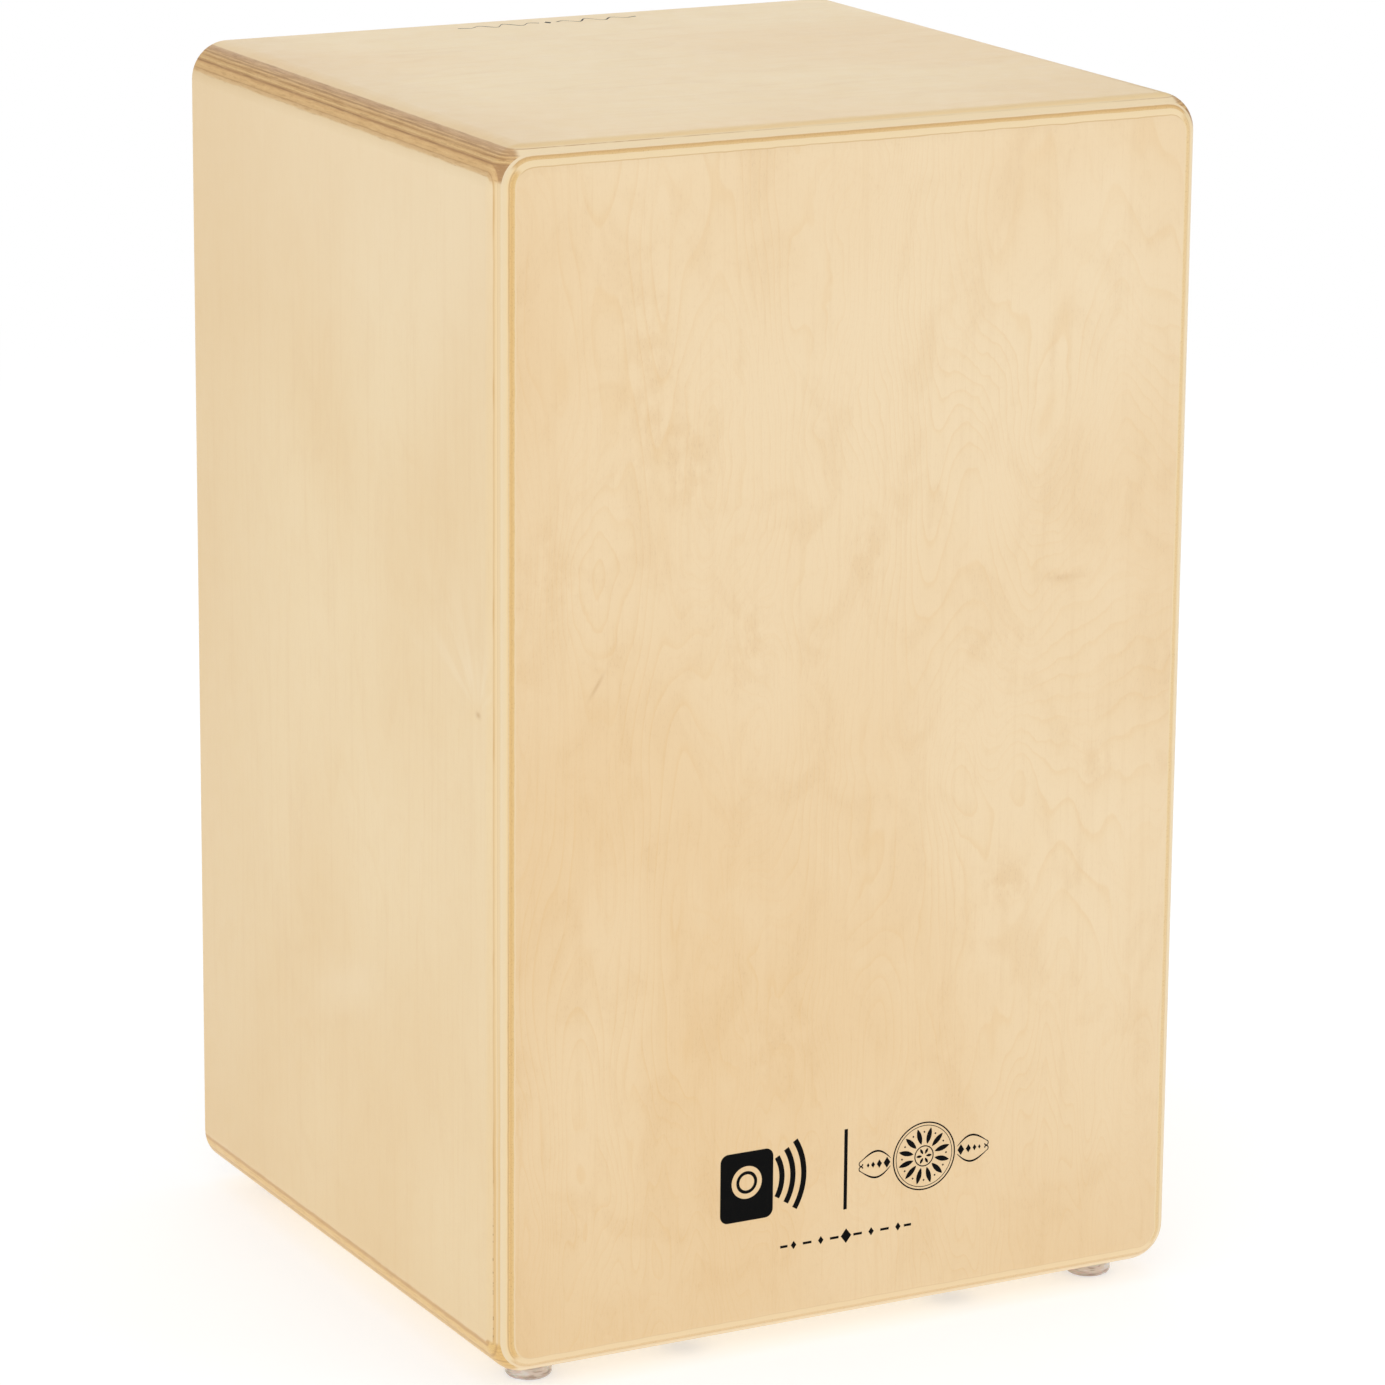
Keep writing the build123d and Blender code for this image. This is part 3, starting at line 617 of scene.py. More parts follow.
def side_material(name, side):
    mat = Graph(name)
    x, y, z = mat.at
    _, normal_y, normal_z = mat.normal
    outer_depth = HALF_W - abs(x)
    face, height = side_face(mat, side)
    wobble = mat.noise(y / 11.0, z / 14.0, x / 8.0).sway(0.22)
    depth = outer_depth + wobble
    low_depth = outer_depth + wobble * 0.25
    fleck = mat.cloud(0.45, rough=0.7)
    front = side_front(mat, depth, fleck)
    # end grain on the roundings that face up and down, with flecks, dark and pale streaks
    streak = mat.noise(y / 8.0, z / 0.8, x / 1.4, detail=4.0, rough=0.65)
    upper, lower = depth.ramp(SIDE_UPPER_PLIES), low_depth.ramp(SIDE_LOWER_PLIES)
    corner = mat.mix(z.smooth(240.0, 200.0), upper, lower)
    corner = mat.mix(fleck.smooth(0.50, 0.74) * 0.26, corner, (172, 130, 84))
    corner = mat.mix(streak.smooth(0.50, 0.68) * 0.42, corner, (186, 140, 86))
    corner = mat.mix(streak.smooth(0.46, 0.32) * 0.35, corner, (240, 206, 148))
    rear, cross = stacked_plies(mat, depth, (241, 219, 176), (206, 164, 112))
    rear = mat.mix(fleck.smooth(0.50, 0.74) * (cross * 0.5 + 0.08), rear, END_DARK)
    # each edge by the way the surface faces
    on_front = depth.smooth(0.88, 1.0) * normal_y.smooth(-0.2, -0.3)
    on_upper = normal_z.smooth(0.08, 0.20) * depth.smooth(0.40, 0.52)
    on_lower = (-normal_z).smooth(0.05, 0.12) * low_depth.smooth(0.04, 0.12)
    on_rear = depth.smooth(0.95, 1.1) * normal_y.smooth(0.35, 0.6)
    col = mat.mix(on_front, face, front)
    col = mat.mix(on_upper.max(on_lower), col, corner)
    col = mat.mix(on_rear, col, rear)
    # broken dark joint where the side meets the top and bottom boards
    joint = joint_line(z, JOINT_TOP_Z).max(joint_line(z, JOINT_LOW_Z))
    broken = mat.noise(y / 16.0, z).smooth(0.36, 0.60)
    col = mat.mix(joint * broken * 0.45, col, (140, 102, 64))
    col = inside_tone(mat, outer_depth, col)
    return varnish(mat, col, height, seed=4.0 + side)


# ---------------------------------------------------------------------------------------------
# top and bottom boards: across the grain is y, along it x
# ---------------------------------------------------------------------------------------------
# plies by depth behind the outer face, colour
BOARD_END_PLIES = (
    (0.0, 236, 214, 178), (1.30, 232, 204, 160), (1.50, 208, 168, 120), (1.72, 206, 166, 121),
    (2.90, 202, 161, 113), (3.02, 228, 192, 140), (3.16, 206, 166, 118), (3.50, 186, 144, 98),
    (3.64, 206, 164, 113), (4.00, 230, 193, 136), (4.20, 214, 172, 117), (4.74, 190, 146, 96),
    (4.90, 214, 172, 116), (5.80, 232, 195, 136), (6.10, 206, 163, 110), (6.60, 198, 155, 104),
)
BOARD_FRONT_PLIES = (
    (0.0, 240, 212, 166), (1.05, 241, 215, 170), (1.66, 244, 221, 180), (3.40, 242, 219, 180),
)


def board_ends(mat, depth, pore, is_top):
    """Brown end grain facing left and right; the bottom board is yellower and calmer."""
    x, y, z = mat.at
    streak = mat.noise(y / 14.0, z / 0.50, x / 3.0, detail=4.0, rough=0.65)
    col = depth.ramp(BOARD_END_PLIES)
    if not is_top:
        col = mat.mix(0.72, col, (230, 190, 116))
    pore_amount = 0.26 if is_top else 0.12
    dark_amount = 0.48 if is_top else 0.30
    col = mat.mix(pore.smooth(0.48, 0.72) * pore_amount, col, (162, 120, 78))
    col = mat.mix(streak.smooth(0.50, 0.68) * 0.50, col, (234, 198, 146))
    return mat.mix(streak.smooth(0.48, 0.32) * dark_amount, col, (164, 120, 76))


def board_front(mat, depth):
    """Front edge, with a broken glue line that is strongest on the left."""
    x, y, _ = mat.at
    broken = mat.noise(x / 14.0, y / 5.0, detail=3.0, rough=0.6).smooth(0.38, 0.56)
    reach = x.smooth(10.0, -120.0).max(x.smooth(90.0, 148.0) * 0.6)
    glue = depth.band(1.34, 1.58, 0.05) * (reach * 0.8 + 0.2) * (broken * 0.65 + 0.35)
    return mat.mix(glue * 0.75, depth.ramp(BOARD_FRONT_PLIES), (190, 146, 98))


def board_material(name, face_z, facing):
    """facing is +1 for the board whose outer face looks up, -1 for the one that looks down."""
    mat = Graph(name)
    x, y, z = mat.at
    normal_x, normal_y, _ = mat.normal
    is_top = facing > 0
    outer_depth = (face_z - z) * facing
    bend = mat.noise(y / 60 + 3 * facing, x / 90).sway(18.0)
    figure = mat.noise((y + bend) / 50 + 2, x / 230 + 4 * facing, rough=0.42).sway(7.0)
    face, height = veneer(
        mat, y, x, y / 30.0 + figure, seed=8.9 + facing, figure=0.42, blotch=0.40,
        cream=(245, 214, 162), pale=(247, 221, 172), tan=(233, 195, 138),
    )
    if is_top:
        # darker towards the left end, where the relief fades out
        face = mat.mix(x.smooth(-95.0, -150.0) * 0.35, face, (226, 188, 134))
        height = height * x.smooth(-149.0, -140.0)
    depth = outer_depth + mat.cloud(16.0, 12.0, 16.0).sway(0.14)
    pore = mat.cloud(0.5, 1.6, 0.38, rough=0.72)
    ends = board_ends(mat, depth, pore, is_top)
    front = board_front(mat, depth)
    rear, cross = stacked_plies(mat, depth - 0.1, (241, 219, 178), (204, 162, 112))
    rear = mat.mix(pore.smooth(0.50, 0.74) * (cross * 0.5 + 0.08), rear, END_DARK)
    # each edge by the way the surface faces
    edge = depth.smooth(0.95, 1.15)
    col = mat.mix(edge * normal_y.smooth(-0.15, -0.3), face, front)
    col = mat.mix(edge * normal_y.smooth(0.35, 0.6), col, rear)
    col = mat.mix(depth.smooth(1.2, 1.5) * abs(normal_x).smooth(0.22, 0.40), col, ends)
    # dark joint with the side boards
    joint = joint_line(z, JOINT_TOP_Z if is_top else JOINT_LOW_Z)
    col = mat.mix(joint * abs(x).smooth(139.0, 141.0) * 0.35, col, (140, 102, 68))
    col = inside_tone(mat, outer_depth, col)
    return varnish(mat, col, height, seed=6.0 + facing, rough=0.38, coat=0.06)


# ---------------------------------------------------------------------------------------------
# back panel
# ---------------------------------------------------------------------------------------------
# ring field: middle x, z, size x, z, height
BACK_HILLS = ((-40.0, 380.0, 36.0, 90.0, 2.6), (70.0, 120.0, 40.0, 90.0, -2.8))
# three plies at the edge of the sound hole: depth behind the outer face, colour
BACK_PLIES = (
    (0.0, 236, 210, 168), (1.0, 232, 204, 160), (1.12, 178, 136, 92), (1.26, 204, 162, 112),
    (2.70, 200, 158, 108), (2.84, 176, 134, 90), (2.96, 232, 206, 162), (4.0, 232, 206, 162),
)


def back_material():
    mat = Graph("back_birch")
    x, y, z = mat.at
    normal_y = mat.normal[1]
    bend = mat.noise(x / 70 + 12, z / 80 + 3).sway(30.0)
    rings = mat.noise((x + bend) / 58 + 31, z / 180 + 12, detail=2.5, rough=0.45).sway(12.0)
    rings = mat.hills(x, z, BACK_HILLS, rings) + x / 30.0
    face, height = veneer(
        mat, x, z, rings, seed=13.7, blotch=0.9,
        cream=(236, 211, 170), pale=(241, 220, 184), tan=(222, 187, 138),
    )
    depth = BACK_Y - y + mat.noise(x / 6.0, z / 6.0).sway(0.2)
    fleck = mat.cloud(0.45, 0.3, 0.45, rough=0.7)
    plies = mat.mix(fleck.smooth(0.48, 0.74) * 0.5, depth.ramp(BACK_PLIES), END_DARK)
    col = mat.mix(abs(normal_y).smooth(0.80, 0.55), face, plies)
    inner = normal_y.smooth(-0.5, -0.8)
    col = mat.mix(inner * 0.5, col, (216, 186, 144))
    return varnish(mat, col, height, seed=9.0, rough=0.42, coat=0.12)


# ---------------------------------------------------------------------------------------------
# battens, feet, hardware and print
# ---------------------------------------------------------------------------------------------
RING_WIDTH = 2.3  # of the spruce
HEART_OFFSET = 31.0, 47.0  # tree heart from the origin, in the two directions across the grain


def softwood_material(name, axis):
    """Planed spruce: straight late-wood lines along the grain axis, rings on the ends."""
    mat = Graph(name)
    along = mat.at[axis]
    first, second = [mat.at[i] for i in range(3) if i != axis]
    bend = mat.noise(first / 30 + axis, second / 30, along / 180).sway(7.0)
    from_first = first + HEART_OFFSET[0] + bend
    from_second = second + HEART_OFFSET[1] + bend * 0.6
    radius = mat.math("SQRT", from_first * from_first + from_second * from_second)
    turn = (radius / RING_WIDTH).fract()
    late = turn.smooth(0.55, 0.93) * turn.smooth(1.0, 0.94)
    fibre = mat.noise(first / 0.5, second / 0.5, along / 14.0, rough=0.6)
    end = abs(mat.normal[axis]).smooth(0.5, 0.8)
    blotch = mat.noise(first / 18, second / 18, along / 60).smooth(0.4, 0.7)
    # late wood, fibres, darker ends, blotches
    col = mat.mix(late * 0.75, (230, 200, 152), (190, 142, 88))
    col = mat.mix(fibre.smooth(0.45, 0.75) * 0.35, col, (206, 164, 112))
    col = mat.mix(end * 0.35, col, (176, 132, 86))
    col = mat.mix(blotch * 0.3, col, (214, 176, 124))
    height = fibre * 0.6 + (1.0 - late) * 0.4
    return mat.surface(col, 0.62 + fibre.sway(0.2), mat.bump(height, distance=0.09))


def rubber_material():
    mat = Graph("clear_rubber_feet")
    x, y, z = mat.at
    haze = mat.cloud(3.0)
    fine = mat.cloud(0.25, detail=1.0)
    near_floor = z.smooth(2.2, 0.0)
    painted_reflection = mat.cloud(6.0, 6.0, 1.1, detail=1.5, bend=0.3)
    # haze, darker bottom, a dark band of painted shade at the top under the board, dark and
    # bright swirls of painted reflection and glints, darker and rougher near the floor
    col = mat.mix(haze.smooth(0.35, 0.7) * 0.5, (244, 228, 214), (232, 213, 197))
    col = mat.mix(z.smooth(3.0, 1.2) * 0.45, col, (196, 168, 148))
    # painted shade: a dark band where the foot meets the board
    col = mat.mix(z.smooth(6.0, 6.8) * 0.80, col, (112, 88, 72))
    # painted reflection: dark swirls, then bright swirls as painted glints
    col = mat.mix(painted_reflection.smooth(0.46, 0.34) * 0.55, col, (160, 132, 112))
    col = mat.mix(painted_reflection.smooth(0.54, 0.64) * 0.75, col, (255, 252, 248))
    # darker near the floor, and rougher there too
    col = mat.mix(near_floor * 0.20, col, (176, 152, 132))
    return mat.surface(
        col,
        0.10 + haze * 0.10 + near_floor * 0.30,
        mat.bump(haze * 0.5 + fine * 0.5, distance=0.03),
        IOR=1.46,
        Transmission_Weight=0.35,
        Subsurface_Weight=0.30,
        Subsurface_Scale=0.002,
        Coat_Weight=0.6,
        Coat_Roughness=0.05,
    )


def metal_material(name, base, dark, rough, brushed=False, scratch=0.4):
    """brushed gives fine lines around the z axis; scratch is how strongly lines darken."""
    mat = Graph(name)
    grain = mat.cloud(0.12)
    patch = mat.cloud(2.5, rough=0.6)
    if brushed:
        lines = mat.cloud(4.0, 4.0, 0.05, detail=1.0)
    else:
        lines = mat.cloud(0.3, detail=3.0, rough=0.7)
    col = mat.mix(patch.smooth(0.40, 0.72) * 0.55, base, dark)
    col = mat.mix(lines.smooth(0.55, 0.75) * scratch, col, dark)
    return mat.surface(
        col,
        rough + patch.sway(0.16) + lines.sway(0.12),
        mat.bump(lines * 0.6 + grain * 0.4, distance=0.012),
        Metallic=1.0,
    )


def nylon_material():
    mat = Graph("nylon_collar")
    mould = mat.cloud(1.2)
    fine = mat.cloud(0.15, detail=1.0)
    return mat.surface(
        mat.mix(mould.smooth(0.35, 0.7) * 0.5, (232, 228, 216), (214, 208, 192)),
        0.42 + mould.sway(0.15),
        mat.bump(mould * 0.6 + fine * 0.4, distance=0.02),
        Subsurface_Weight=0.15,
        Subsurface_Scale=0.002,
    )


def ink_material():
    mat = Graph("black_print")
    fibre = mat.cloud(0.9, 0.9, 9.0)
    wear = mat.cloud(0.5, 0.5, 1.6, rough=0.7)
    return mat.surface(
        mat.mix(wear.smooth(0.62, 0.80) * 0.30, (5, 5, 5), (40, 33, 27)),
        0.48 + fibre.sway(0.15),
        mat.bump(fibre, distance=0.02),
        IOR=1.45,
        Specular_IOR_Level=0.08,
    )


TAPA = tapa_material()
LEFT = side_material("left_side_birch", -1)
RIGHT = side_material("right_side_birch", 1)
TOP = board_material("top_birch", TOP_Z, 1)
BOTTOM = board_material("bottom_birch", LOW_Z, -1)
BACK = back_material()
WOOD_X = softwood_material("spruce_x", 0)
WOOD_Y = softwood_material("spruce_y", 1)
WOOD_Z = softwood_material("spruce_z", 2)
RUBBER = rubber_material()
ZINC = metal_material("zinc_plated", base=(214, 214, 212), dark=(168, 168, 170), rough=0.28)
DARK = metal_material(
    "black_oxide", base=(96, 95, 97), dark=(58, 57, 58), rough=0.40, scratch=0.25
)
BRASS = metal_material(
    "turned_brass", base=(214, 180, 108), dark=(178, 138, 76), rough=0.30, brushed=True
)
BRONZE = metal_material("bronze_winding", base=(206, 158, 96), dark=(156, 110, 62), rough=0.34)
NYLON = nylon_material()
INK = ink_material()

PAINTED = (
    (TAPA, "tapa"),
    (LEFT, "left_side_panel"),
    (RIGHT, "right_side_panel"),
    (TOP, "top_panel"),
    (BOTTOM, "bottom_panel"),
    (BACK, "back_panel"),
    (WOOD_X, "upper_front_batten", "lower_front_batten", "string_anchor_bar"),
    (WOOD_Z, "left_front_batten", "right_front_batten"),
    (WOOD_Y, "lower_left_corner_batten", "lower_right_corner_batten",
     "upper_left_corner_batten", "upper_right_corner_batten"),
    (RUBBER, "front_left_foot", "front_right_foot", "rear_left_foot", "rear_right_foot"),
    (ZINC, "foot_screws", "foot_washers", "string_anchor_pins",
     "left_tension_washer", "right_tension_washer"),
    (DARK, "left_string_carriage", "right_string_carriage", "left_guide_pin",
     "right_guide_pin", "left_tension_bolt", "right_tension_bolt"),
    (BRASS, "left_tension_bush", "right_tension_bush"),
    (NYLON, "left_retaining_collar", "right_retaining_collar"),
    (BRONZE, "left_string", "right_string"),
)
for material, *names in PAINTED:
    for name in names:
        slots = nodes[name].data.materials
        slots.clear()
        slots.append(material)


# ---------------------------------------------------------------------------------------------
# mesh helpers
# ---------------------------------------------------------------------------------------------
def mesh_object(name, verts, faces, material, smooth=True):
    """An object from vertices in millimetres."""
    mesh = bpy.data.meshes.new(name)
    mesh.from_pydata([tuple(mm(c) for c in vert) for vert in verts], [], faces)
    mesh.validate()
    bm = bmesh.new()
    bm.from_mesh(mesh)
    bmesh.ops.recalc_face_normals(bm, faces=bm.faces)
    bm.to_mesh(mesh)
    bm.free()
    if smooth:
        mesh.polygons.foreach_set("use_smooth", [True] * len(mesh.polygons))
    mesh.materials.append(material)
    obj = bpy.data.objects.new(name, mesh)
    bpy.context.scene.collection.objects.link(obj)
    return obj


def unit_tangents(points):
    steps = np.gradient(points, axis=0)
    return steps / np.linalg.norm(steps, axis=1)[:, None]


class Ink:
    """Flat closed solids of printed ink, drawn in a plane at (u, v) from level low to high.
    place turns (u, v, level) into (x, y, z)."""

    def __init__(self, place, low, high):
        self.place, self.low, self.high = place, low, high
        self.verts, self.faces = [], []

    def strip(self, first, second, closed=False):
        """The area between two outlines of equal length."""
        count, base = len(first), len(self.verts)
        for level in (self.low, self.high):
            for outline in (first, second):
                self.verts += [self.place(u, v, level) for u, v in outline]
        first_low, second_low, first_high, second_high = (base + count * k for k in range(4))
        for i in range(count if closed else count - 1):
            j = (i + 1) % count
            self.faces += [
                (first_low + i, first_low + j, second_low + j, second_low + i),
                (first_high + i, second_high + i, second_high + j, first_high + j),
                (first_low + i, first_high + i, first_high + j, first_low + j),
                (second_low + i, second_low + j, second_high + j, second_high + i),
            ]
        if not closed:
            last = count - 1
            self.faces += [
                (first_low, second_low, second_high, first_high),
                (first_low + last, first_high + last, second_high + last, second_low + last),
            ]

    def fill(self, outline):
        count, base = len(outline), len(self.verts)
        for level in (self.low, self.high):
            self.verts += [self.place(u, v, level) for u, v in outline]
        self.faces.append(tuple(base + i for i in range(count)))
        self.faces.append(tuple(base + count + i for i in reversed(range(count))))
        for i in range(count):
            j = (i + 1) % count
            self.faces.append((base + i, base + count + i, base + count + j, base + j))

    def arc(self, centre, radius, width, start, end, count):
        """A square-ended arc, or a ring when it spans 360 degrees."""
        angles = np.radians(np.linspace(start, end, count))
        full = end - start == 360
        if full:
            angles = angles[:-1]
        outer, inner = (
            [(centre[0] + r * math.cos(t), centre[1] + r * math.sin(t)) for t in angles]
            for r in (radius + width / 2, radius - width / 2)
        )
        self.strip(outer, inner, closed=full)

    def stroke(self, path, widths):
        """A pen stroke along a path, with its own width at each point."""
        along = unit_tangents(path)
        offset = np.stack([-along[:, 1], along[:, 0]], 1) * widths[:, None] / 2
        self.strip((path + offset).tolist(), (path - offset).tolist())

    def build(self, name):
        obj = mesh_object(name, self.verts, self.faces, INK, smooth=False)
        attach(obj, "cabinet")


def rounded_rect(centre, width, height, radius, corner_steps=8, side_steps=10):
    """Outline with points along the straight sides too."""
    corners = ((1, 1, 0), (-1, 1, 90), (-1, -1, 180), (1, -1, 270))

    def on_corner(corner, turned):
        x_side, y_side, start = corner
        angle = math.radians(start + turned)
        return (
            centre[0] + x_side * (width / 2 - radius) + radius * math.cos(angle),
            centre[1] + y_side * (height / 2 - radius) + radius * math.sin(angle),
        )

    points = []
    for i, corner in enumerate(corners):
        points += [on_corner(corner, 90 * k / corner_steps) for k in range(corner_steps + 1)]
        last, to = points[-1], on_corner(corners[(i + 1) % 4], 0)
        for k in range(1, side_steps):
            f = k / side_steps
            points.append((last[0] + (to[0] - last[0]) * f, last[1] + (to[1] - last[1]) * f))
    return points


def diamond(u, v, width, height):
    return [(u + width / 2, v), (u, v + height / 2), (u - width / 2, v), (u, v - height / 2)]


def bar(u, v, half_width, half_height):
    left, right = u - half_width, u + half_width
    low, high = v - half_height, v + half_height
    return [(left, low), (right, low), (right, high), (left, high)]


def petal(centre, inner, outer, width, angle, count=9):
    """A petal from radius inner to outer, count points to a side, at angle degrees."""
    upper = []
    for k in range(count):
        s = k / (count - 1)
        upper.append((inner + (outer - inner) * s, width / 2 * math.sin(math.pi * s) ** 0.8))
    lower = [(x, -y) for x, y in upper[-2:0:-1]]
    cos, sin = math.cos(math.radians(angle)), math.sin(math.radians(angle))
    return [
        (centre[0] + x * cos - y * sin, centre[1] + x * sin + y * cos) for x, y in upper + lower
    ]


# ---------------------------------------------------------------------------------------------
# print on the front: a box-drum glyph with sound waves, a rule, a rosette and a line of dashes
# ---------------------------------------------------------------------------------------------
EMBLEM_Z = LOW_Z + 61.9  # middle height of the glyph, rule and rosette
GLYPH = (-43.5, EMBLEM_Z)
GLYPH_HOLE = (GLYPH[0], EMBLEM_Z + 1.6)
GLYPH_HOLE_R = 6.6
WAVE_CENTRE = (GLYPH[0] - 1.0, GLYPH_HOLE[1])
WAVES = ((16.4, 30), (21.2, 31), (26.0, 32))  # radius, half angle
ROSETTE = (35.0, EMBLEM_Z)
ROSETTE_RINGS = ((13.7, 0.55, 73), (12.5, 0.26, 73), (4.1, 0.45, 41))  # radius, width, points
SIDE_DIAMONDS = ((16.6, 3.0), (20.0, 2.3), (22.8, 1.7), (25.0, 1.2))  # offset, width
DASH_X, DASH_Z = 0.6, LOW_Z + 34.6  # middle of the line of dashes
DASH_HALF_HEIGHT = 0.5


def draw_glyph(ink):
    outer = rounded_rect(GLYPH, width=23.0, height=28.0, radius=3.4)
    # the round hole has a point facing each point of the outline
    inner = []
    for x, z in outer:
        angle = math.atan2(z - GLYPH_HOLE[1], x - GLYPH_HOLE[0])
        inner.append((
            GLYPH_HOLE[0] + GLYPH_HOLE_R * math.cos(angle),
            GLYPH_HOLE[1] + GLYPH_HOLE_R * math.sin(angle),
        ))
    ink.strip(outer, inner, closed=True)
    ink.arc(GLYPH_HOLE, radius=3.9, width=1.3, start=0, end=360, count=41)
    for radius, half in WAVES:
        ink.arc(WAVE_CENTRE, radius, width=2.3, start=-half, end=half, count=24)


def draw_rosette(ink):
    x_mid, z_mid = ROSETTE
    for radius, width, count in ROSETTE_RINGS:
        ink.arc(ROSETTE, radius, width, start=0, end=360, count=count)
    for k in range(12):
        ink.fill(petal(ROSETTE, inner=4.9, outer=11.7, width=2.1, angle=15 + 30 * k))
        angle = math.radians(30 * k)
        ink.fill(diamond(x_mid + 9.9 * math.cos(angle), z_mid + 9.9 * math.sin(angle), 0.9, 0.9))
    for k in range(6):
        ink.fill(petal(ROSETTE, inner=0.9, outer=3.5, width=1.1, angle=60 * k))
    for side in (-1, 1):
        for offset, width in SIDE_DIAMONDS:
            ink.fill(diamond(x_mid + side * offset, z_mid, width, width * 1.5))
        for up in (-1, 1):
            draw_scroll(ink, side, up)


def draw_scroll(ink, side, up):
    """A swelling stroke beside the rosette, and the curl at its end."""
    t = np.linspace(0, 1, 28)
    rise = 1.6 + 4.6 * np.sin(np.pi * t * 0.94) * (1 - 0.35 * t)
    path = np.stack([ROSETTE[0] + side * (15.0 + 13.2 * t), ROSETTE[1] + up * rise], 1)
    ink.stroke(path, 0.22 + 0.55 * np.sin(np.pi * t))
    end_x, end_z = path[-1]
    turn = np.linspace(0, 1.5 * math.pi, 20)
    curl_r = 1.25
    radius = curl_r * (1 - turn / (2.6 * math.pi))
    curl_x = end_x + side * (radius * np.sin(turn) - 0.2)
    curl_z = end_z + up * (radius * np.cos(turn) - curl_r)
    ink.stroke(np.stack([curl_x, curl_z], 1), np.linspace(0.34, 0.5, 20))


def draw_dashes(ink):
    """A diamond, then dashes and small diamonds in turn to both sides."""
    ink.fill(diamond(DASH_X, DASH_Z, 4.6, 6.0))
    for side in (-1, 1):
        for k in range(4):
            x = DASH_X + side * (5.2 + 6.0 * k)
            if k % 2 == 0:
                ink.fill(bar(x, DASH_Z, 1.9, DASH_HALF_HEIGHT))
            else:
                ink.fill(diamond(x, DASH_Z, 2.4, 3.4))
        ink.fill(bar(DASH_X + side * 27.5, DASH_Z, 1.6, DASH_HALF_HEIGHT))


def front_emblem():
    ink = Ink(lambda u, v, level: (u, FRONT_Y + level, v), low=0.02, high=-0.04)
    draw_glyph(ink)
    ink.fill(bar(0.0, EMBLEM_Z, half_width=0.75, half_height=16.4))
    draw_rosette(ink)
    draw_dashes(ink)
    ink.build("front_emblem")


FLOURISH_X, FLOURISH_Y = 2.5, REAR_Y - 14.6
FLOURISH_WAVES = 3.1  # on each side


def top_flourish():
    """Thin pen flourish near the rear edge of the top."""
    pen = Ink(lambda u, v, level: (u, v, TOP_Z + level), low=-0.02, high=0.03)
    t = np.linspace(0, 1, 90)
    swing = 3.6 * np.sin(np.pi * np.minimum(1, t * 1.02)) ** 0.7 + 0.4
    phase = 2 * np.pi * FLOURISH_WAVES * t
    y = FLOURISH_Y + swing * np.sin(phase) * (1 - 0.45 * t)
    for side in (-1, 1):
        x = FLOURISH_X + side * (4.0 + 36.5 * t)
        pen.stroke(np.stack([x, y], 1), 0.30 + 0.45 * (0.5 + 0.5 * np.cos(phase)))
    pen.fill(diamond(FLOURISH_X, FLOURISH_Y, 3.0, 4.4))
    pen.build("top_flourish")


front_emblem()
top_flourish()

# ---------------------------------------------------------------------------------------------
# tension bolts with real threads and hex sockets, heads down
# ---------------------------------------------------------------------------------------------
BOLT_SEGMENTS = 48
BOLT_ANGLES = 2 * np.pi * np.arange(BOLT_SEGMENTS) / BOLT_SEGMENTS
HEAD_HEIGHT = 4.0
SOCKET_WIDTH = 4.0  # across flats
SOCKET_DEPTH = 2.40
SHANK_R = 2.98  # also the thread crest
THREAD_ROOT_R = 2.42
THREAD_PITCH = 1.0
THREAD_START = 1.3  # above the bearing face
LOOPS_PER_TURN = 8


def loft(loops):
    """Vertices and faces of a stack of loops of equal length, closed at both ends."""
    count = len(loops[0])
    verts = [point for loop in loops for point in loop]
    faces = []
    for k in range(len(loops) - 1):
        below, above = k * count, (k + 1) * count
        for i in range(count):
            j = (i + 1) % count
            faces.append((below + i, below + j, above + j, above + i))
    verts.append(tuple(np.mean(loops[0], axis=0)))
    middle = len(verts) - 1
    faces += [(middle, (i + 1) % count, i) for i in range(count)]
    verts.append(tuple(np.mean(loops[-1], axis=0)))
    middle, base = len(verts) - 1, (len(loops) - 1) * count
    faces += [(middle, base + i, base + (i + 1) % count) for i in range(count)]
    return verts, faces


def hex_radius(across_flats):
    """Radius of a hexagon at each bolt angle."""
    from_flat = (BOLT_ANGLES + np.pi / 6) % (np.pi / 3) - np.pi / 6
    return (across_flats / 2) / np.cos(from_flat)


def head_stations(head_r, z_low, z_bearing):
    """Radius and height from the bottom of the socket, round the head, to the shank."""
    socket_r = hex_radius(SOCKET_WIDTH)
    return [
        (0.35, z_low + 2.75),
        (socket_r * 0.86, z_low + SOCKET_DEPTH),
        (socket_r, z_low + SOCKET_DEPTH),
        (socket_r, z_low + 2.36),
        (socket_r, z_low + 0.30),
        (socket_r * 1.10, z_low),
        (socket_r * 1.12, z_low),
        (head_r - 0.62, z_low),
        (head_r - 0.50, z_low + 0.02),
        (head_r - 0.20, z_low + 0.14),
        (head_r - 0.05, z_low + 0.34),
        (head_r, z_low + 0.56),
        (head_r, z_bearing - 0.16),
        (head_r - 0.03, z_bearing - 0.05),
        (head_r - 0.12, z_bearing),
        (3.30, z_bearing),
        (3.02, z_bearing + 0.12),
        (SHANK_R, z_bearing + 0.4),
        (SHANK_R, z_bearing + THREAD_START - 0.05),
    ]


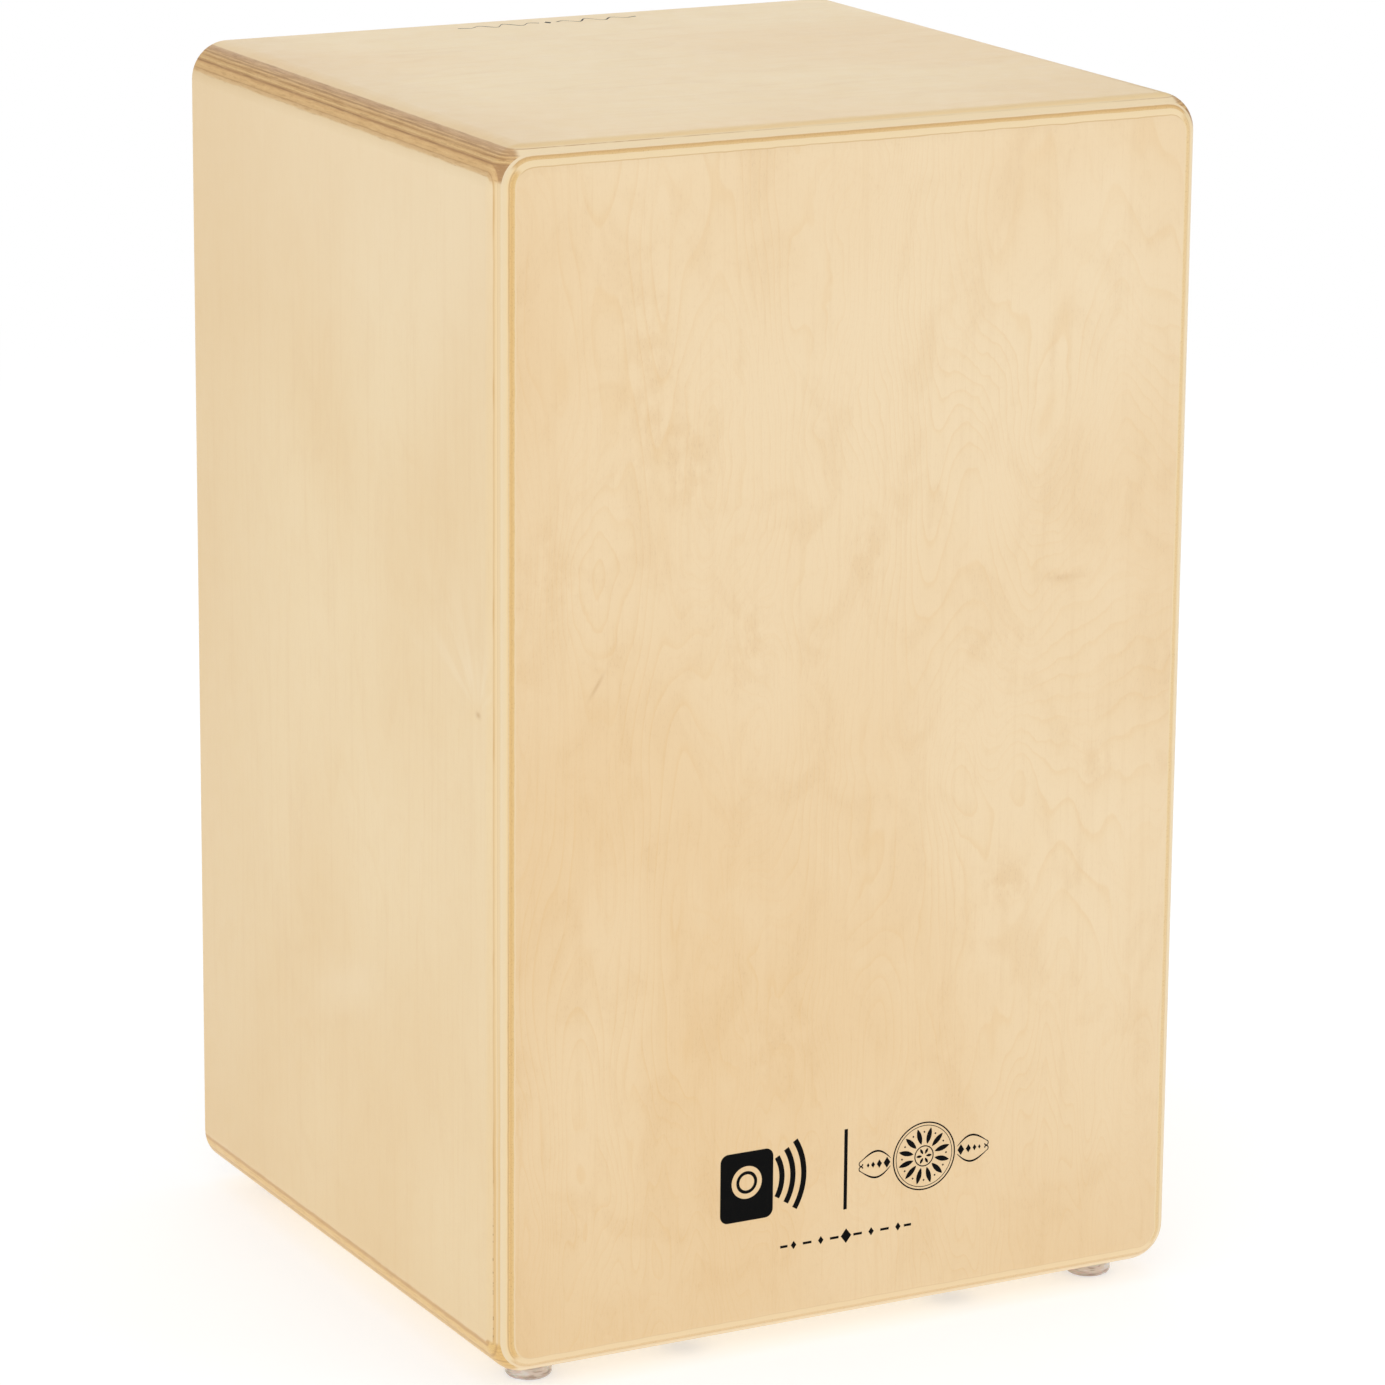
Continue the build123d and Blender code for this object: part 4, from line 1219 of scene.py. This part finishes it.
def thread_stations(z_bearing, z_end):
    """Radius and height along the thread, which fades in and tapers over its last 0.9 mm."""
    stations = []
    z = z_bearing + THREAD_START
    while z < z_end - 0.02:
        phase = ((z - z_bearing) / THREAD_PITCH - BOLT_ANGLES / (2 * np.pi)) % 1.0
        peak = np.abs(phase - 0.5) * 2  # 1 at the crest
        profile = np.clip((peak - 0.12) / 0.72, 0, 1)
        fade = min(1.0, (z - z_bearing - THREAD_START) / 1.0)
        radius = SHANK_R - (SHANK_R - THREAD_ROOT_R) * (1 - profile) * fade
        taper = max(0.0, z - (z_end - 0.9)) * 0.9
        stations.append((np.minimum(radius, SHANK_R - taper), z))
        z += THREAD_PITCH / LOOPS_PER_TURN
    return stations + [(2.12, z_end), (1.2, z_end)]


def threaded_bolt(side):
    node = side + "_tension_bolt"
    lo, hi = box_mm(node)
    x_mid, y_mid = (lo[0] + hi[0]) / 2, (lo[1] + hi[1]) / 2
    z_bearing = lo[2] + HEAD_HEIGHT
    stations = head_stations((hi[0] - lo[0]) / 2, lo[2], z_bearing)
    stations += thread_stations(z_bearing, hi[2])
    loops = []
    for radius, z in stations:
        xs = x_mid + radius * np.cos(BOLT_ANGLES)
        ys = y_mid + radius * np.sin(BOLT_ANGLES)
        loops.append([(x, y, z) for x, y in zip(xs, ys)])
    obj = mesh_object(node + "_threaded", *loft(loops), DARK)
    obj.modifiers.new("edges", "EDGE_SPLIT").split_angle = math.radians(42)
    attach(obj, node)
    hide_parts(node)


# ---------------------------------------------------------------------------------------------
# wound strings: a tube with winding ridges, from one anchor pin round the carriage stud to the
# other pin. Paths are (x from the bolt's middle, z).
# ---------------------------------------------------------------------------------------------
PIN_R, STUD_R = 1.8, 4.6  # wire centre line round the pins and the stud
PIN_WRAP = 0.35  # radians past the inward direction
ARC_STEP, RUN_STEP = 0.22, 0.28
WINDING_PITCH = 1.1
RIDGE = 0.10  # share of the wire's radius
STRING_SEGMENTS = 10


def tangent_normal(pin, stud, side):
    """Direction from the pin to where the outer tangent of pin and stud touches it."""
    span = stud - pin
    length = np.linalg.norm(span)
    x, z = span / length
    k = (PIN_R - STUD_R) / length
    c = math.sqrt(1 - k * k)
    normal = np.array([x * k - z * c, z * k + x * c])
    if normal[0] * side < 0:
        normal = np.array([x * k + z * c, z * k - x * c])
    return normal


def arc_points(centre, radius, start, end):
    count = max(6, int(abs(end - start) * radius / ARC_STEP))
    return [
        (centre[0] + radius * math.cos(t), centre[1] + radius * math.sin(t))
        for t in np.linspace(start, end, count)
    ]


def run_points(start, end):
    """Points of a straight run, without its ends."""
    count = int(np.linalg.norm(end - start) / RUN_STEP)
    return [tuple(start + (end - start) * s) for s in np.linspace(0, 1, count)[1:-1]]


def string_path(spread, pin_z, stud_z):
    left_pin, right_pin = np.array([-spread, pin_z]), np.array([spread, pin_z])
    stud = np.array([0.0, stud_z])
    left, right = tangent_normal(left_pin, stud, -1), tangent_normal(right_pin, stud, 1)
    left_angle = math.atan2(left[1], left[0]) % (2 * math.pi)
    right_angle = math.atan2(right[1], right[0])
    return (
        arc_points(left_pin, PIN_R, -PIN_WRAP, left_angle)
        + run_points(left_pin + left * PIN_R, stud + left * STUD_R)
        + arc_points(stud, STUD_R, left_angle, right_angle + 2 * math.pi)
        + run_points(stud + right * STUD_R, right_pin + right * PIN_R)
        + arc_points(right_pin, PIN_R, right_angle, math.pi + PIN_WRAP)
    )


def wound_tube(path, wire_r):
    """Vertices and faces of the wire along a path in an xz plane, with pointed ends."""
    along = unit_tangents(path)
    steps = np.linalg.norm(np.diff(path, axis=0), axis=1)
    travelled = np.concatenate([[0], np.cumsum(steps)])
    sideways = np.array([0.0, 1.0, 0.0])
    outward = np.cross(along, np.tile(sideways, (len(path), 1)))
    seg = STRING_SEGMENTS
    verts, faces = [], []
    for k in range(len(path)):
        for i in range(seg):
            t = 2 * math.pi * i / seg
            ridge = 0.5 + 0.5 * math.cos(2 * math.pi * (travelled[k] / WINDING_PITCH) - t)
            radius = wire_r * (1 - RIDGE + RIDGE * ridge)
            offset = sideways * math.cos(t) + outward[k] * math.sin(t)
            verts.append(tuple(path[k] + offset * radius))
    for k in range(len(path) - 1):
        for i in range(seg):
            j = (i + 1) % seg
            faces.append((k * seg + i, k * seg + j, (k + 1) * seg + j, (k + 1) * seg + i))
    for k, reach in ((0, -0.3), (len(path) - 1, 0.3)):
        tip = len(verts)
        verts.append(tuple(path[k] + along[k] * reach))
        faces += [(tip, k * seg + i, k * seg + (i + 1) % seg) for i in range(seg)]
    return verts, faces


def wound_string(side):
    node = side + "_string"
    lo, hi = box_mm(node)
    plane_y = (lo[1] + hi[1]) / 2
    wire_r = (hi[1] - lo[1]) / 2
    bolt_lo, bolt_hi = box_mm(side + "_tension_bolt")
    x_mid = (bolt_lo[0] + bolt_hi[0]) / 2
    pins_lo, pins_hi = box_mm("string_anchor_pins")
    pin_z = (pins_lo[2] + pins_hi[2]) / 2
    carriage_lo, carriage_hi = box_mm(side + "_string_carriage")
    stud_z = (carriage_lo[2] + carriage_hi[2]) / 2
    spread = (hi[0] - lo[0]) / 2 - PIN_R - wire_r
    path = np.array([(x_mid + x, plane_y, z) for x, z in string_path(spread, pin_z, stud_z)])
    obj = mesh_object(node + "_wound", *wound_tube(path, wire_r), BRONZE)
    mm(x_mid)
    mm(plane_y)
    mm(pin_z)
    mm(x_mid)
    mm(plane_y)
    mm(stud_z + STUD_R)
    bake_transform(obj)
    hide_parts(node)


for side in ("left", "right"):
    threaded_bolt(side)
    wound_string(side)

# ---------------------------------------------------------------------------------------------
# studio, in metres
# ---------------------------------------------------------------------------------------------
CENTRE = (CAD_LO + CAD_HI) / 2
FLOOR_R, FLOOR_SEGMENTS = 14.0, 96
# area lamps, all aimed at the middle: name, place, size, power
AREA_LAMPS = (
    ("key", (-1.5, -2.3, 1.9), (1.8, 1.8), 12),
    ("fill", (2.0, -1.8, 1.1), (1.8, 1.8), 9),
    ("left", (-2.6, 0.3, 0.9), (1.4, 1.8), 6),
    ("overhead", (0.0, -0.2, 2.6), (2.0, 2.0), 7),
    ("rear", (0.9, 2.6, 1.0), (1.8, 1.8), 9),
)


def floor_material():
    """Pale floor that glows a little, fades to white far out and is clear from below."""
    mat = Graph("pale_floor")
    x, y, _ = mat.at

    def blend(amount, first, second):
        node = mat.add("ShaderNodeMixShader")
        for socket, value in zip(node.inputs, (amount, first, second)):
            mat.put(socket, value)
        return node.outputs[0]

    tone = mat.noise(x / 900, y / 900, detail=1.0)
    matt = mat.add("ShaderNodeBsdfDiffuse")
    mat.put(matt.inputs["Color"], mat.mix(tone, (206, 208, 211), (208, 210, 213)))
    glow = mat.add("ShaderNodeEmission")
    glow.inputs["Strength"].default_value = 0.50
    near = mat.add("ShaderNodeAddShader")
    mat.put(near.inputs[0], matt.outputs[0])
    mat.put(near.inputs[1], glow.outputs[0])
    distance = mat.math("SQRT", x * x + y * y)
    white = mat.add("ShaderNodeEmission")
    upper = blend(distance.smooth(600.0, 1900.0), near.outputs[0], white.outputs[0])
    below = mat.add("ShaderNodeNewGeometry").outputs["Backfacing"]
    clear = mat.add("ShaderNodeBsdfTransparent")
    mat.put(mat.output.inputs["Surface"], blend(below, upper, clear.outputs[0]))
    return mat.material


def floor():
    mesh = bpy.data.meshes.new("floor")
    angles = [2 * math.pi * i / FLOOR_SEGMENTS for i in range(FLOOR_SEGMENTS)]
    verts = [(FLOOR_R * math.cos(t), FLOOR_R * math.sin(t), 0.0) for t in angles]
    mesh.from_pydata(verts, [], [tuple(range(FLOOR_SEGMENTS))])
    mesh.materials.append(floor_material())
    obj = bpy.data.objects.new("floor", mesh)
    bpy.context.scene.collection.objects.link(obj)


def world():
    studio = bpy.data.worlds.new("studio")
    bpy.context.scene.world = studio
    studio.use_nodes = True
    tree = studio.node_tree
    tree.nodes.clear()

    def background(colour, strength):
        node = tree.nodes.new("ShaderNodeBackground")
        node.inputs["Color"].default_value = colour + (1,)
        node.inputs["Strength"].default_value = strength
        return node.outputs[0]

    def choose(ray, otherwise, when):
        node = tree.nodes.new("ShaderNodeMixShader")
        for socket, source in zip(node.inputs, (path.outputs[ray], otherwise, when)):
            tree.links.new(source, socket)
        return node.outputs[0]

    output = tree.nodes.new("ShaderNodeOutputWorld")
    path = tree.nodes.new("ShaderNodeLightPath")
    seen = background((1, 1, 1), strength=1.0)
    lit = background((0.98, 0.99, 1.0), strength=0.66)
    # what the varnish mirrors: a darker room behind the lamps
    mirrored = background((0.96, 0.97, 1.0), strength=0.22)
    room = choose("Is Glossy Ray", lit, mirrored)
    tree.links.new(choose("Is Camera Ray", room, seen), output.inputs[0])


def place_lamp(name, data, where, target):
    obj = bpy.data.objects.new(name, data)
    obj.location = where
    obj.rotation_euler = (Vector(target) - Vector(where)).to_track_quat("-Z", "Y").to_euler()
    bpy.context.scene.collection.objects.link(obj)


def area_lamps():
    for name, where, size, power in AREA_LAMPS:
        data = bpy.data.lights.new(name, "AREA")
        data.shape = "RECTANGLE"
        data.size, data.size_y = size
        data.energy = power
        place_lamp(name, data, where, CENTRE)


def port_lamp():
    """A narrow lamp that shines through the sound hole, so that the inside shows from behind."""
    lo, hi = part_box("back_panel")
    hole_z = frame["record"]["mounts"][2]["pos_m"][2]
    hole = Vector(((lo[0] + hi[0]) / 2, hi[1], hole_z))
    data = bpy.data.lights.new("port", "SPOT")
    data.energy = 130
    data.spot_size = math.radians(4.2)
    data.spot_blend = 0.5
    data.shadow_soft_size = 0.01
    place_lamp("port", data, hole + Vector((0.35, 1.35, 0.45)), hole)


CAMERA_PLACE = (-1.0794739, -2.0434806, 0.8455523)
YAW, PITCH, ROLL = (math.radians(angle) for angle in (-27.958723, 14.281298, 0.487320))


def camera():
    """Looks at the front and the left side, from a little above."""
    data = bpy.data.cameras.new("camera")
    obj = bpy.data.objects.new("camera", data)
    bpy.context.scene.collection.objects.link(obj)
    backward = Vector((
        math.sin(YAW) * math.cos(PITCH),
        -math.cos(YAW) * math.cos(PITCH),
        math.sin(PITCH),
    ))
    level_right = Vector((0, 0, 1)).cross(backward).normalized()
    level_up = backward.cross(level_right)
    right = level_right * math.cos(ROLL) + level_up * math.sin(ROLL)
    up = level_up * math.cos(ROLL) - level_right * math.sin(ROLL)
    pose = Matrix((right, up, backward)).transposed().to_4x4()
    pose.translation = Vector(CAMERA_PLACE)
    obj.matrix_world = pose
    data.sensor_width = 36.0
    data.lens = 155.2269574
    data.shift_y = -0.0523465704
    data.clip_start, data.clip_end = 0.05, 60.0
    bpy.context.scene.camera = obj


floor()
world()
area_lamps()
port_lamp()
camera()
bpy.context.scene.view_settings.view_transform = "Standard"
